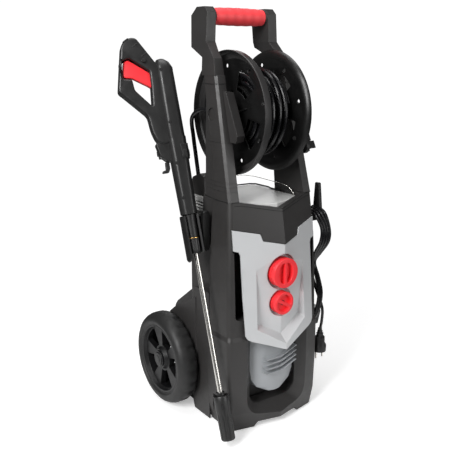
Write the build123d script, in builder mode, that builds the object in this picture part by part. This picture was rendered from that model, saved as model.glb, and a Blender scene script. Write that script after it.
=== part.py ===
"""Upright cold-water pressure washer on two wheels, as an assembly of separate pieces.

Frame: millimetres, +Z up, the front of the machine faces -Y, x = 0 is its middle plane.
The origin lies on the floor, inside the three-sided foot rim of the base tray.
"""
from build123d import *
from math import atan2, cos, degrees, radians, sin
import os

os.makedirs("parts", exist_ok=True)

# ------------------------------------------------------------------ driving dimensions (mm)
WALL = 3.0                      # moulded wall of the casings
GAP = 0.4                       # gap between casings that are screwed together
RUN = 0.06                      # radial running clearance of shafts, knobs and wheels

# front casing: height, half width, y of its corners, y of its middle prow
FRONT_SECTIONS = (
    (2, 112, -182, -206),
    (40, 119, -184.5, -213),
    (121, 122, -184.5, -216),
    (205, 121.5, -184, -216),
    (214, 118.8, -181.5, -214.5),
    (322, 117, -178, -213),
    (402, 113.5, -175, -212.5),
    (491, 108, -165.5, -196.5),
)
SPLIT_Y = -110                  # plane where the front and rear casings meet
DEEP_Y = -150                   # back of the thick pillars beside the front opening
BULKHEAD_Y = -140               # inner wall behind the front opening
SHOULDER_Z = 491                # seam between casing and columns
DECK_Z = 483                    # top face of the grey deck

# columns: their front edges lean back and inwards as they rise
COLUMN_TOP = 718
COLUMN_LEAN = 0.2534            # y per unit of height
COLUMN_WALL = 3.5

# reel
REEL_Y = -96.8
REEL_Z = 658.9
REEL_R = 125
REEL_HALF = 43                  # half the length of the drum
DRUM_R = 55
AXLE_R = 10
WINDOW_IN = 46
WINDOW_OUT = 88

# wheels
WHEEL_Y = 23.1
WHEEL_R = 105.2
WHEEL_X = 125                   # inner face of the tyre
WHEEL_W = 46
RIM_R = 79.5
WHEEL_AXLE_R = 6

# knobs on the front panel
BIG_KNOB_Z = 341
BIG_KNOB_R = 31.5
SMALL_KNOB_Z = 275
SMALL_KNOB_R = 24.5
KNOB_BACK_Y = -195
SEAT_Y = -193
STEM_R = 5

# places where hoses pass through the walls
INLET = (-45, 62)               # water inlet in the back wall: x, height
HOSE_HOLE = (-80, -20)          # feed hose through the deck: x, y
TANK_Z = 405                    # height of the detergent filler in the back wall

# base tray, with motor and pump standing on it
PLATE_Z = 9                     # underside of the tray's floor
MOTOR_Y = -44
MOTOR_R = 50

# gun and lance: held upright on the left side, leaning back
GUN_X = -150
GUN_FOOT_Y = -86
GUN_FOOT_Z = 459
GUN_LEAN = 17.46                # degrees from vertical
GUN_TURN = 20                   # degrees the grip is turned towards the rear
TUBE_R = 5

# gun directions: up along the barrel, and out towards the grip
lean = radians(GUN_LEAN)
turn = radians(GUN_TURN)
GUN_UP = Vector(0, sin(lean), cos(lean))
GUN_OUT = Vector(-cos(turn), sin(turn) * cos(lean), -sin(turn) * sin(lean))
GUN_SIDE = GUN_OUT.cross(GUN_UP)
GUN_FOOT = Vector(GUN_X, GUN_FOOT_Y, GUN_FOOT_Z)
GUN_PLANE = Plane(origin=GUN_FOOT, x_dir=GUN_OUT, z_dir=GUN_SIDE)


# ------------------------------------------------------------------ shared shapes
def save(part, label):
    """Label a finished piece and write it as one STEP file."""
    part.label = label
    export_step(part, f"parts/{label}.step")


def closed_face(*points, mode=Mode.ADD):
    """Straight-sided face inside the current sketch."""
    Polygon(*points, align=None, mode=mode)


def both_sides(half):
    """Full outline from the points of its right half, given from bottom middle to top middle."""
    left = [(-x, y) for x, y in reversed(half) if x > 0]
    return list(half) + left


def front_outline(section, inset, back_y):
    """Plan of the front casing at one height: two flat faces meeting in a shallow prow."""
    z, half, corner_y, prow_y = section
    half = half - inset
    corner_y = corner_y + inset
    prow_y = prow_y + inset
    with BuildSketch(Plane.XY.offset(z)) as outline:
        closed_face((-half, back_y), (-half, corner_y), (0, prow_y), (half, corner_y), (half, back_y))
        corners = outline.vertices().filter_by(lambda v: abs(v.Y - corner_y) < 0.1)
        fillet(corners, 12 - inset)
    return outline.sketch


def front_loft(inset, back_y):
    """Solid that fills the front casing's outer form, shrunk by inset."""
    return loft([front_outline(s, inset, back_y) for s in FRONT_SECTIONS], ruled=True)


def lean_plane(along):
    """Plane square to the gun's barrel, at a distance along it."""
    return Plane(origin=GUN_FOOT + GUN_UP * along, x_dir=GUN_OUT, z_dir=GUN_UP)


# ------------------------------------------------------------------ front casing
front_outer = front_loft(0, SPLIT_Y)
front_inner = front_loft(WALL, SPLIT_Y + 5)
rear_room = Pos(0, (DEEP_Y + SPLIT_Y) / 2 + 10, 230) * Box(300, SPLIT_Y - DEEP_Y + 20, 480)
bulkhead = Pos(0, BULKHEAD_Y + 1.25, 240) * Box(300, 2.5, 452)
room_cut = front_inner & rear_room
bulkhead = bulkhead & front_inner

OPEN_TOP = 262
OPEN_HALF = 62
OPEN_LOW = 46
OPEN_MIDDLE = (0, (OPEN_LOW + OPEN_TOP) / 2)
MOUTH_LOW = 16                  # lower edge of the opening's bevels, at the casing's face
FACE_Y = -225
INNER_Y = -178

with BuildPart() as front_housing:
    add(front_outer)
    add(room_cut, mode=Mode.SUBTRACT)
    add(bulkhead)
    # the visor's top edge drops from the columns to the prow
    with BuildSketch(Plane.XZ.offset(110)):
        closed_face((-84, 492), (84, 492), (84, 491), (0, 474), (-84, 491))
    extrude(amount=120, mode=Mode.SUBTRACT)
    # well for the deck
    with BuildSketch(Plane.XY.offset(460)):
        closed_face((-81.5, -100), (-81.5, -159), (0, -185), (81.5, -159), (81.5, -100))
    extrude(amount=60, mode=Mode.SUBTRACT)
    # lower opening, with bevelled sides that run in to the motor cover
    with BuildSketch(Plane.XZ.offset(-FACE_Y)):
        with Locations((0, (MOUTH_LOW + OPEN_TOP) / 2)):
            RectangleRounded(2 * (OPEN_HALF + 52), OPEN_TOP - MOUTH_LOW, 44)
    with BuildSketch(Plane.XZ.offset(-INNER_Y)):
        with Locations(OPEN_MIDDLE):
            RectangleRounded(2 * OPEN_HALF, OPEN_TOP - OPEN_LOW, 26)
    loft(mode=Mode.SUBTRACT)
    with BuildSketch(Plane.XZ.offset(-BULKHEAD_Y)):
        with Locations(OPEN_MIDDLE):
            RectangleRounded(2 * OPEN_HALF, OPEN_TOP - OPEN_LOW, 26)
    extrude(amount=BULKHEAD_Y - INNER_Y, mode=Mode.SUBTRACT)
    # slots beside the panel
    with BuildSketch(Plane.XZ.offset(-BULKHEAD_Y)):
        with Locations((0, 325)):
            RectangleRounded(208, 152, 9)
    extrude(amount=100, mode=Mode.SUBTRACT)
    # room for the panel's upper corners, below the visor's notch
    with BuildSketch(Plane.XZ.offset(-BULKHEAD_Y)):
        closed_face(*both_sides([
            (0, 392), (106.6, 392), (106.6, 438.6), (50, 426.8), (44.5, 411.4), (0, 401.6),
        ]))
    extrude(amount=100, mode=Mode.SUBTRACT)
    # pillars are cored out from behind
    with BuildSketch(Plane.XZ.offset(-SPLIT_Y)):
        with Locations((-101, 140), (101, 140)):
            RectangleRounded(20, 170, 4)
    extrude(amount=58, mode=Mode.SUBTRACT)
    # arched lower edge between the two front feet
    with BuildSketch(Plane.XZ.offset(100)):
        closed_face((-62, 0), (62, 0), (52, 13), (-52, 13))
    extrude(amount=150, mode=Mode.SUBTRACT)
    # room for the foot rim of the base tray
    with BuildSketch(Plane.XY):
        with Locations((-84, -140), (84, -140)):
            Rectangle(46, 74)
    extrude(amount=PLATE_Z + 1.5, mode=Mode.SUBTRACT)
    # rest for the lance nozzle, low on the left side
    with BuildSketch(Plane.YZ.offset(-130)):
        closed_face((-166, 14), (-128, 8), (-122, 20), (-126, 70), (-168, 66))
    extrude(amount=14, mode=Mode.SUBTRACT)
save(front_housing.part, "front_housing")

# ------------------------------------------------------------------ front panel
PANEL_OUTLINE = both_sides([
    (0, 176), (78, 206), (86, 211), (90, 219), (92, 300), (92, 386), (95, 393), (106, 396),
    (106, 438), (50.5, 426), (45, 411), (0, 401),
])


def panel_section(z, prow_y, side_y, thick):
    """Plan of a folded plate, 110 mm to each side of the prow."""
    with BuildSketch(Plane.XY.offset(z)) as plan:
        closed_face(
            (-110, side_y), (0, prow_y), (110, side_y),
            (110, side_y + thick), (0, prow_y + thick), (-110, side_y + thick),
        )
    return plan.sketch


def panel_plate(thick, back=0.0):
    """Folded plate that follows the panel's face, moved back by a distance."""
    low = panel_section(165, -224.6 + back, -202.6 + back, thick)
    high = panel_section(450, -208.2 + back, -172.4 + back, thick)
    return loft([low, high], ruled=True)


def recess(grow):
    """Room of the recessed field: tapered walls, and a folded floor that deepens downwards."""
    with BuildSketch(Plane.XZ.offset(228)) as mouth:
        closed_face(*both_sides([(0, 185 - grow), (76 + grow, 215 - grow), (82 + grow, 392), (0, 392)]))
    with BuildSketch(Plane.XZ.offset(190)) as floor:
        closed_face(*both_sides([(0, 216 - grow), (55 + grow, 238 - grow), (58 + grow, 392), (0, 392)]))
    walls = loft([mouth.sketch, floor.sketch])
    levels = []
    for z, prow_y in ((160, -200.5 + grow), (400, -212.5 + grow)):
        with BuildSketch(Plane.XY.offset(z)) as plan:
            closed_face((-120, prow_y + 27), (0, prow_y), (120, prow_y + 27), (120, -240), (-120, -240))
        levels.append(plan.sketch)
    return walls & loft(levels, ruled=True)


with BuildSketch(Plane.XZ.offset(150)) as panel_shape:
    closed_face(*PANEL_OUTLINE)
panel_block = extrude(panel_shape.sketch, amount=90)
behind_face = panel_plate(60)
panel_skin = panel_plate(WALL) & panel_block
panel_bowl = recess(WALL) & behind_face & panel_block
panel_room = recess(0)

SEAT_FLARE = 16                 # degrees the walls of the knob seats open outwards
with BuildPart() as front_panel:
    add(panel_skin)
    add(panel_bowl)
    add(panel_room, mode=Mode.SUBTRACT)
    for z, radius in ((BIG_KNOB_Z, BIG_KNOB_R + 3), (SMALL_KNOB_Z, SMALL_KNOB_R + 3)):
        with BuildSketch(Plane.XZ.offset(-SEAT_Y - WALL)):
            with Locations((0, z)):
                Circle(radius + 2.5)
        extrude(amount=10)
        with BuildSketch(Plane.XZ.offset(-SEAT_Y)):
            with Locations((0, z)):
                Circle(radius)
        extrude(amount=30, taper=-SEAT_FLARE, mode=Mode.SUBTRACT)
        with BuildSketch(Plane.XZ.offset(180)):
            with Locations((0, z)):
                Circle(STEM_R + RUN)
        extrude(amount=40, mode=Mode.SUBTRACT)
    # two bosses reach back to the bulkhead's screws
    with BuildSketch(Plane.XZ.offset(-BULKHEAD_Y)):
        with Locations((-84, 410), (84, 410)):
            Circle(5)
    extrude(amount=43)
save(front_panel.part, "front_panel")

# ------------------------------------------------------------------ motor cover
# height, half width, y of the sides, y of the middle
COVER_SECTIONS = (
    (70, 16, -186, -189),
    (84, 44, -180, -191),
    (102, 56, -176, -194),
    (132, 60, -173, -195.5),
    (236, 60, -170, -195),
)
RIDGE_HEIGHT = 1.2


def cover_outline(section, inset):
    """Plan of the motor cover: a rounded front that bulges forward."""
    z, half, side_y, prow_y = section
    half = half - inset
    with BuildSketch(Plane.XY.offset(z)) as outline:
        with BuildLine():
            Line((half, side_y), (half, BULKHEAD_Y - GAP))
            Line((half, BULKHEAD_Y - GAP), (-half, BULKHEAD_Y - GAP))
            Line((-half, BULKHEAD_Y - GAP), (-half, side_y))
            ThreePointArc((-half, side_y), (0, prow_y + inset), (half, side_y))
        make_face()
    return outline.sketch


cover_outer = loft([cover_outline(s, 0) for s in COVER_SECTIONS], ruled=True)
cover_inner = Pos(0, 0, 2.5) * loft([cover_outline(s, 2.5) for s in COVER_SECTIONS], ruled=True)


def cover_ridge(top):
    """Raised line across the cover, level at the left and rising to the right."""
    with BuildSketch(Plane.XZ.offset(165)) as line:
        closed_face((-36, top - 2), (4, top - 2), (44, top + 13), (44, top + 15), (4, top), (-36, top))
    return extrude(line.sketch, amount=40)


ridge_skin = loft([cover_outline(s, -RIDGE_HEIGHT) for s in COVER_SECTIONS], ruled=True)

with BuildPart() as motor_cover:
    add(cover_outer)
    for step in range(4):
        add(cover_ridge(154 - 11 * step) & ridge_skin)
    add(cover_inner, mode=Mode.SUBTRACT)
save(motor_cover.part, "motor_cover")

# ------------------------------------------------------------------ rear casing
REAR_TOP = 452
REAR_HALF = 101
LOW_HALF = 119
BACK_Y = 96


def rear_upper(inset):
    """Upper part of the rear casing, narrower than the lower part."""
    with BuildSketch(Plane.XY.offset(200)) as plan:
        closed_face(*both_sides([
            (0, SPLIT_Y + GAP - inset), (REAR_HALF - inset, SPLIT_Y + GAP - inset),
            (REAR_HALF - inset, -16), (82 - inset / 2, 10 - inset), (0, 14 - inset),
        ]))
    return extrude(plan.sketch, amount=REAR_TOP - 200 - inset)


def rear_lower(inset):
    """Lower part: holds motor and pump, and slopes down to the back between the wheels."""
    with BuildSketch(Plane.XY.offset(2)) as plan:
        closed_face(*both_sides([
            (0, SPLIT_Y + GAP - inset), (LOW_HALF - inset, SPLIT_Y + GAP - inset),
            (LOW_HALF - inset, -50), (101 - inset, -16), (97 - inset, 62),
            (82 - inset / 2, BACK_Y - inset), (0, BACK_Y - inset),
        ]))
    block = extrude(plan.sketch, amount=290)
    with BuildSketch(Plane.YZ.offset(-150)) as side:
        closed_face(
            (SPLIT_Y - 20, 0), (SPLIT_Y - 20, 300 - inset), (-62, 294 - inset), (-12, 268 - inset),
            (52, 222 - inset), (84 - inset / 2, 184 - inset),
            (BACK_Y + 2 - inset, 150), (BACK_Y + 2 - inset, 0),
        )
    return block & extrude(side.sketch, amount=300)


rear_outer = rear_upper(0) + rear_lower(0)
rear_inner = rear_upper(WALL) + Pos(0, 0, -3) * rear_lower(WALL)

FENDER_X = 121
FENDER_WALL = 3
# side view of the flared panel between the casing's slope and each wheel
FENDER_OUTLINE = (
    (-60, 268), (-12, 244), (16, 228), (46, 205), (58, 190), (50, 164), (20, 150), (-20, 142),
    (-46, 124), (-62, 118),
)
# screws in the back wall: x, height, y of the wall's outer face
SCREW_PLACES = (
    (-68, 32, BACK_Y), (68, 32, BACK_Y), (-68, 128, BACK_Y), (68, 128, BACK_Y),
    (-60, 330, 11.1), (60, 330, 11.1), (-60, 436, 11.1), (60, 436, 11.1),
)

with BuildPart() as rear_housing:
    add(rear_outer)
    # shoulders that carry the backs of the columns
    with BuildSketch(Plane.XY.offset(430)):
        with Locations((-95.5, -90.3), (95.5, -90.3)):
            Rectangle(21, 38.6)
    extrude(amount=SHOULDER_Z - GAP - 430)
    add(rear_inner, mode=Mode.SUBTRACT)
    # flared mudguards beside each wheel, open towards the inside
    for side in (-1, 1):
        with BuildSketch(Plane.YZ.offset(side * FENDER_X)):
            closed_face(*FENDER_OUTLINE)
        extrude(amount=-side * (FENDER_X - 94))
        with BuildSketch(Plane.YZ.offset(side * (FENDER_X - FENDER_WALL))):
            closed_face(*FENDER_OUTLINE)
            offset(amount=-FENDER_WALL, kind=Kind.INTERSECTION, mode=Mode.REPLACE)
        extrude(amount=-side * (FENDER_X - FENDER_WALL - 90), mode=Mode.SUBTRACT)
    # the room inside stays clear of the mudguards
    add(rear_inner, mode=Mode.SUBTRACT)
    # wheel axle, water inlet and detergent filler pass through the walls
    with BuildSketch(Plane.YZ.offset(-140)):
        with Locations((WHEEL_Y, WHEEL_R)):
            Circle(16)
    extrude(amount=280, mode=Mode.SUBTRACT)
    with BuildSketch(Plane.XZ.offset(-BACK_Y - 5)):
        with Locations(INLET):
            Circle(15)
    extrude(amount=12, mode=Mode.SUBTRACT)
    with BuildSketch(Plane.XZ.offset(-18)):
        with Locations((0, TANK_Z)):
            Circle(15)
    extrude(amount=12, mode=Mode.SUBTRACT)
    # feed hose comes up through the top at the rear left
    with BuildSketch(Plane.XY.offset(REAR_TOP - 10)):
        with Locations(HOSE_HOLE):
            Circle(7)
    extrude(amount=20, mode=Mode.SUBTRACT)
    for x, z, wall_y in SCREW_PLACES:
        with BuildSketch(Plane.XZ.offset(-wall_y - 5)):
            with Locations((x, z)):
                Circle(2.2)
        extrude(amount=12, mode=Mode.SUBTRACT)
    # cooling slots in the back
    for row in range(6):
        with BuildSketch(Plane.XZ.offset(-BACK_Y - 5)):
            with Locations((20, 30 + 12 * row)):
                SlotOverall(70, 5)
        extrude(amount=12, mode=Mode.SUBTRACT)
save(rear_housing.part, "rear_housing")

# ------------------------------------------------------------------ top deck
DECK_FLOOR = 453


def deck_plan(inset):
    """Plan of the deck: pointed between the columns, wide behind them."""
    with BuildSketch(Plane.XY.offset(DECK_FLOOR)) as plan:
        closed_face(*both_sides([
            (0, -184.2 + inset), (80.6 - inset, -158.6 + inset), (80.6 - inset, -68),
            (97 - inset, -68 + inset), (97 - inset, -22), (80 - inset, 6 - inset), (0, 10 - inset),
        ]))
    return plan.sketch


with BuildPart() as top_deck:
    add(extrude(deck_plan(0), amount=DECK_Z - DECK_FLOOR))
    top_edges = top_deck.faces().sort_by(Axis.Z)[-1].edges()
    fillet(top_edges, 2.5)
    add(extrude(deck_plan(2.6), amount=DECK_Z - DECK_FLOOR - 2.6), mode=Mode.SUBTRACT)
    # the bulkhead and the casing walls stand under the deck's front
    with BuildSketch(Plane.XY.offset(DECK_FLOOR - 1)):
        closed_face((-90, -195), (90, -195), (90, -100), (-90, -100))
    extrude(amount=16, mode=Mode.SUBTRACT)
    with BuildSketch(Plane.XY.offset(DECK_FLOOR - 1)):
        with Locations(HOSE_HOLE):
            Circle(7)
    extrude(amount=60, mode=Mode.SUBTRACT)
    # vents in both side walls
    for x in (-100, 90):
        for row in range(3):
            with BuildSketch(Plane.YZ.offset(x)):
                with Locations((-44, 459 + 6.5 * row)):
                    SlotOverall(32, 2.6)
            extrude(amount=10, mode=Mode.SUBTRACT)
save(top_deck.part, "top_deck")

# ------------------------------------------------------------------ columns
# height, y of the rear edge
COLUMN_SECTIONS = ((491, -71), (604, -65), (718, -60))


def column_front(z):
    """y of the column's inner front edge."""
    return -168.7 + COLUMN_LEAN * (z - 491)


def column_points(z, rear_y, inset):
    """Plan of the left column: narrow front, long outer side with a chamfered rear corner."""
    inner = -84.9 + 0.0385 * (z - 491) - inset
    outer = -107.9 + 0.042 * (z - 491) + inset
    front = column_front(z) + inset
    side_end = column_front(z) + 50 - 0.037 * (z - 491) - inset
    rear = rear_y - inset
    return (
        (inner, front), (outer + 5, front + 1), (outer, front + 6),
        (outer, side_end), (outer + 9, rear), (inner, rear),
    )


def column_face(z, rear_y, inset):
    with BuildSketch(Plane.XY.offset(z)) as plan:
        closed_face(*column_points(z, rear_y, inset))
    return plan.sketch


column_outer = loft([column_face(z, y, 0) for z, y in COLUMN_SECTIONS], ruled=True)
column_core = loft([column_face(z, y, COLUMN_WALL) for z, y in COLUMN_SECTIONS], ruled=True)
bearing_block = Pos(-90, REEL_Y, REEL_Z) * Box(60, 44, 44)

with BuildPart() as column_left:
    add(column_outer)
    add(column_core - bearing_block, mode=Mode.SUBTRACT)
    with BuildSketch(Plane.YZ.offset(-110)):
        with Locations((REEL_Y, REEL_Z)):
            Circle(13.1)
    extrude(amount=60, mode=Mode.SUBTRACT)
save(column_left.part, "column_left")

with BuildPart() as column_right:
    add(column_left.part.mirror(Plane.YZ))
save(column_right.part, "column_right")

# ------------------------------------------------------------------ upper handle frame
GRIP_Y = -44
GRIP_Z = 849
GRIP_HALF = 63
GRIP_R = 17.5
BAR_R = 12
ARM_PROFILE = (
    (-104.5, COLUMN_TOP + 16), (-95, 767), (-63, 800), (-63, 856), (-52, 867), (-24, 867),
    (-5, 851), (-10, 789), (-53, 769), (-57, COLUMN_TOP + 16),
)
PLUG_TOP = COLUMN_TOP + 16

handle_foot = loft(
    [column_face(COLUMN_TOP + GAP, -60, 0), column_face(PLUG_TOP + 0.2, -57.4, 0)], ruled=True
)

with BuildSketch(Plane.XZ.offset(-10)) as arm_front:
    closed_face(
        (-97.9, PLUG_TOP), (-75.4, PLUG_TOP), (-73.6, 780), (-68, 800), (-65.5, 870),
        (-86.5, 870), (-91.8, 785),
    )
arm_slab = extrude(arm_front.sketch, amount=120)
with BuildSketch(Plane.YZ.offset(-110)) as arm_side:
    closed_face(*ARM_PROFILE)
    fillet(arm_side.vertices().filter_by(lambda v: v.Z > 840), 7)
arm_left = extrude(arm_side.sketch, amount=60) & arm_slab

with BuildPart() as handle_frame:
    add(arm_left)
    add(handle_foot)
    # plugs that slide down into the hollow columns
    plug_low = column_face(690, -61.5, COLUMN_WALL + GAP)
    plug_high = column_face(COLUMN_TOP + 1, -60, COLUMN_WALL + GAP)
    add(loft([plug_low, plug_high], ruled=True))
    mirror(about=Plane.YZ)
    with BuildSketch(Plane.YZ.offset(-80)):
        with Locations((GRIP_Y, GRIP_Z)):
            Circle(BAR_R)
    extrude(amount=160)
    # collars at both ends of the grip
    for start in (-72, GRIP_HALF + 0.3):
        with BuildSketch(Plane.YZ.offset(start)):
            with Locations((GRIP_Y, GRIP_Z)):
                Circle(GRIP_R - 0.5)
        extrude(amount=9 - 0.3)
save(handle_frame.part, "handle_frame")

with BuildPart() as handle_grip:
    with BuildSketch(Plane.XY):
        with BuildLine():
            Line((-GRIP_HALF, BAR_R + 0.1), (-GRIP_HALF, GRIP_R - 1.4))
            ThreePointArc((-GRIP_HALF, GRIP_R - 1.4), (0, GRIP_R + 0.5), (GRIP_HALF, GRIP_R - 1.4))
            Line((GRIP_HALF, GRIP_R - 1.4), (GRIP_HALF, BAR_R + 0.1))
            Line((GRIP_HALF, BAR_R + 0.1), (-GRIP_HALF, BAR_R + 0.1))
        make_face()
    revolve(axis=Axis.X)
handle_grip.part.position = (0, GRIP_Y, GRIP_Z)
save(handle_grip.part, "handle_grip")

# ------------------------------------------------------------------ reel bearings
with BuildPart() as reel_bearing_left:
    with BuildSketch(Plane.YZ.offset(-86)):
        closed_face((-84, 706), (-124, 704), (-163, 620), (-158, 606), (-84, 606))
    extrude(amount=20, taper=5)
    add(Pos(0.3, 0, 0) * column_outer, mode=Mode.SUBTRACT)
    add(Pos(0.3, -0.3, 0) * column_outer, mode=Mode.SUBTRACT)
    # bush that reaches into the column
    with BuildSketch(Plane.YZ.offset(-98)):
        with Locations((REEL_Y, REEL_Z)):
            Circle(13)
    extrude(amount=22)
    with BuildSketch(Plane.YZ.offset(-94)):
        with Locations((REEL_Y, REEL_Z)):
            Circle(AXLE_R + RUN)
    extrude(amount=60, mode=Mode.SUBTRACT)
save(reel_bearing_left.part, "reel_bearing_left")

with BuildPart() as reel_bearing_right:
    with BuildSketch(Plane.YZ.offset(73)):
        with Locations((REEL_Y, REEL_Z)):
            Circle(19)
    extrude(amount=4.6)
    with BuildSketch(Plane.YZ.offset(77)):
        with Locations((REEL_Y, REEL_Z)):
            Circle(13)
    extrude(amount=25.5)
    with BuildSketch(Plane.YZ.offset(70)):
        with Locations((REEL_Y, REEL_Z)):
            Circle(AXLE_R + RUN)
    extrude(amount=40, mode=Mode.SUBTRACT)
save(reel_bearing_right.part, "reel_bearing_right")

# ------------------------------------------------------------------ hose reel
with BuildPart() as reel_axle:
    with BuildSketch(Plane.YZ.offset(-92)):
        with Locations((REEL_Y, REEL_Z)):
            Circle(AXLE_R)
            Circle(5, mode=Mode.SUBTRACT)
    extrude(amount=92 + 106)
save(reel_axle.part, "reel_axle")

with BuildPart() as reel_drum:
    with BuildSketch(Plane.YZ.offset(-REEL_HALF)):
        with Locations((REEL_Y, REEL_Z)):
            Circle(DRUM_R)
            Circle(DRUM_R - 3, mode=Mode.SUBTRACT)
            Circle(14)
            Circle(AXLE_R + 0.1, mode=Mode.SUBTRACT)
            with PolarLocations(33, 6):
                Rectangle(41, 3)
    extrude(amount=2 * REEL_HALF)
save(reel_drum.part, "reel_drum")


def flange_profile(sign, lip):
    """Half section of a dished reel flange in the XY plane, with Y standing for the radius."""
    disc_in = sign * (REEL_HALF + 0.1)
    disc_out = sign * (REEL_HALF + 2.7)
    rim = sign * (REEL_HALF + lip)
    with BuildSketch(Plane.XY) as profile:
        closed_face(
            (disc_in, AXLE_R + 0.1), (disc_in, REEL_R - 12), (sign * (REEL_HALF + 4), REEL_R - 2),
            (sign * (REEL_HALF + 7), REEL_R), (rim, REEL_R), (rim, REEL_R - 2.6),
            (sign * (REEL_HALF + 7.6), REEL_R - 2.6), (disc_out, REEL_R - 13), (disc_out, AXLE_R + 0.1),
        )
    return profile.sketch


def window(radius_in, radius_out, start, sweep):
    """Ring-sector window around the reel's axis, as a face in the current YZ sketch."""
    def at(radius, angle):
        return (radius * cos(radians(angle)), radius * sin(radians(angle)))
    with BuildLine() as rim:
        CenterArc((0, 0), radius_out, start, sweep)
        CenterArc((0, 0), radius_in, start, sweep)
        Line(at(radius_in, start), at(radius_out, start))
        Line(at(radius_in, start + sweep), at(radius_out, start + sweep))
    make_face(rim.edges())


def flange(sign, lip):
    """One reel flange, turned about the X axis, with windows and small drain holes."""
    with BuildPart() as disc:
        add(revolve(flange_profile(sign, lip), axis=Axis.X))
        for count in range(4):
            with BuildSketch(Plane.YZ.offset(-80)):
                window(WINDOW_IN, WINDOW_OUT, 100 + 90 * count, 42)
            extrude(amount=160, mode=Mode.SUBTRACT)
        with BuildSketch(Plane.YZ.offset(-80)):
            with PolarLocations(97, 8, start_angle=75):
                Circle(4)
        extrude(amount=160, mode=Mode.SUBTRACT)
        # ribs on the outer face between the hub and the rim
        with BuildSketch(Plane.YZ.offset(sign * (REEL_HALF + 2.6))):
            with PolarLocations(30, 4, start_angle=76):
                Rectangle(32, 3)
        extrude(amount=sign * 4)
    return disc.part


with BuildPart() as reel_flange_left:
    add(flange(-1, 17.4))
reel_flange_left.part.position = (0, REEL_Y, REEL_Z)
save(reel_flange_left.part, "reel_flange_left")

with BuildPart() as reel_flange_right:
    add(flange(1, 9))
reel_flange_right.part.position = (0, REEL_Y, REEL_Z)
save(reel_flange_right.part, "reel_flange_right")

with BuildPart() as hose_coil:
    with BuildSketch(Plane.XY):
        with Locations((0, (DRUM_R + 0.5 + 86) / 2)):
            RectangleRounded(2 * REEL_HALF - 3, 86 - DRUM_R - 0.5, 4)
    revolve(axis=Axis.X)
hose_coil.part.position = (0, REEL_Y, REEL_Z)
save(hose_coil.part, "hose_coil")

# crank on the right end of the axle, hanging down and forward
CRANK_X = 107
CRANK_T = 8
CRANK_LEN = 85.4
crank_dir = Vector(0, -0.459, -0.8886)
crank_end = Vector(0, REEL_Y, REEL_Z) + crank_dir * CRANK_LEN
FOLD_X = CRANK_X + CRANK_T + 9.5
FOLD_AXIS = Vector(0, 0.8886, -0.459)
crank_angle = degrees(atan2(crank_dir.Z, crank_dir.Y))

with BuildPart() as crank_arm:
    middle = Vector(0, REEL_Y, REEL_Z) + crank_dir * (CRANK_LEN / 2)
    with BuildSketch(Plane.YZ.offset(CRANK_X)):
        with Locations(Location((middle.Y, middle.Z), crank_angle)):
            SlotCenterToCenter(CRANK_LEN, 28)
    extrude(amount=CRANK_T)
    with BuildSketch(Plane.YZ.offset(CRANK_X)):
        with Locations((REEL_Y, REEL_Z)):
            Circle(17)
    extrude(amount=CRANK_T + 6)
    # fork that carries the folding grip
    fork = Plane(origin=crank_end + Vector(CRANK_X + CRANK_T, 0, 0), x_dir=crank_dir, z_dir=(1, 0, 0))
    with BuildSketch(fork):
        with Locations((0, -10), (0, 10)):
            Rectangle(16, 4)
    extrude(amount=17)
    # hinge pin of the grip, fixed in the fork
    with BuildSketch(Plane(origin=crank_end + Vector(FOLD_X, 0, 0) - FOLD_AXIS * 12, z_dir=FOLD_AXIS)):
        Circle(2.5)
    extrude(amount=24)
    # socket for the axle's end
    with BuildSketch(Plane.YZ.offset(104)):
        with Locations((REEL_Y, REEL_Z)):
            Circle(AXLE_R + 0.1)
    extrude(amount=2.4, mode=Mode.SUBTRACT)
save(crank_arm.part, "crank_arm")

with BuildPart() as crank_grip:
    grip_foot = crank_end + Vector(FOLD_X, 0, 0)
    with BuildSketch(Plane(origin=grip_foot - FOLD_AXIS * 7.9, z_dir=FOLD_AXIS)):
        Circle(6.5)
    extrude(amount=15.8)
    with BuildSketch(Plane(origin=grip_foot - crank_dir * 4, z_dir=crank_dir * -1)):
        Circle(5)
    extrude(amount=12)
    with BuildSketch(Plane(origin=grip_foot - crank_dir * 12, z_dir=crank_dir * -1)):
        Circle(8.4)
    extrude(amount=44, taper=-0.5)
    fillet(crank_grip.faces().sort_by(Axis.Z)[-1].edges(), 3)
    with BuildSketch(Plane(origin=grip_foot - FOLD_AXIS * 12, z_dir=FOLD_AXIS)):
        Circle(2.5 + RUN)
    extrude(amount=24, mode=Mode.SUBTRACT)
save(crank_grip.part, "crank_grip")

# ------------------------------------------------------------------ feed hose and its guides
HOSE_R = 4.6
HOSE_BEND = 18
with BuildPart() as feed_hose:
    with BuildLine() as hose_path:
        FilletPolyline(
            (-70, -10, 100), (-78, -16, 200), (-82, -25, 370), (-80, -20, 458), (-80, -19, 492),
            (-67, 14, 552), (-64.5, 28, 600), (-73, 21, 643), (-73, -20, 664), (-73, -76, 660),
            radius=HOSE_BEND,
        )
    with BuildSketch(Plane(origin=hose_path.line @ 0, z_dir=hose_path.line % 0)):
        Circle(HOSE_R)
    sweep()
save(feed_hose.part, "feed_hose")

with BuildPart() as hose_guide:
    with BuildSketch(Plane.YZ.offset(-89)):
        closed_face((-50, DECK_Z + 0.2), (8, DECK_Z + 0.2), (6, 496), (-6, 520), (-34, 531), (-50, 524))
    extrude(amount=19)
    fillet(hose_guide.edges().filter_by(Axis.X).group_by(Axis.Z)[-1], 6)
    # open channel for the hose
    with BuildSketch(Plane.YZ.offset(-86)):
        closed_face((-40, 480), (0, 480), (30, 560), (-30, 560))
    extrude(amount=30, mode=Mode.SUBTRACT)
save(hose_guide.part, "hose_guide")

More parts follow.
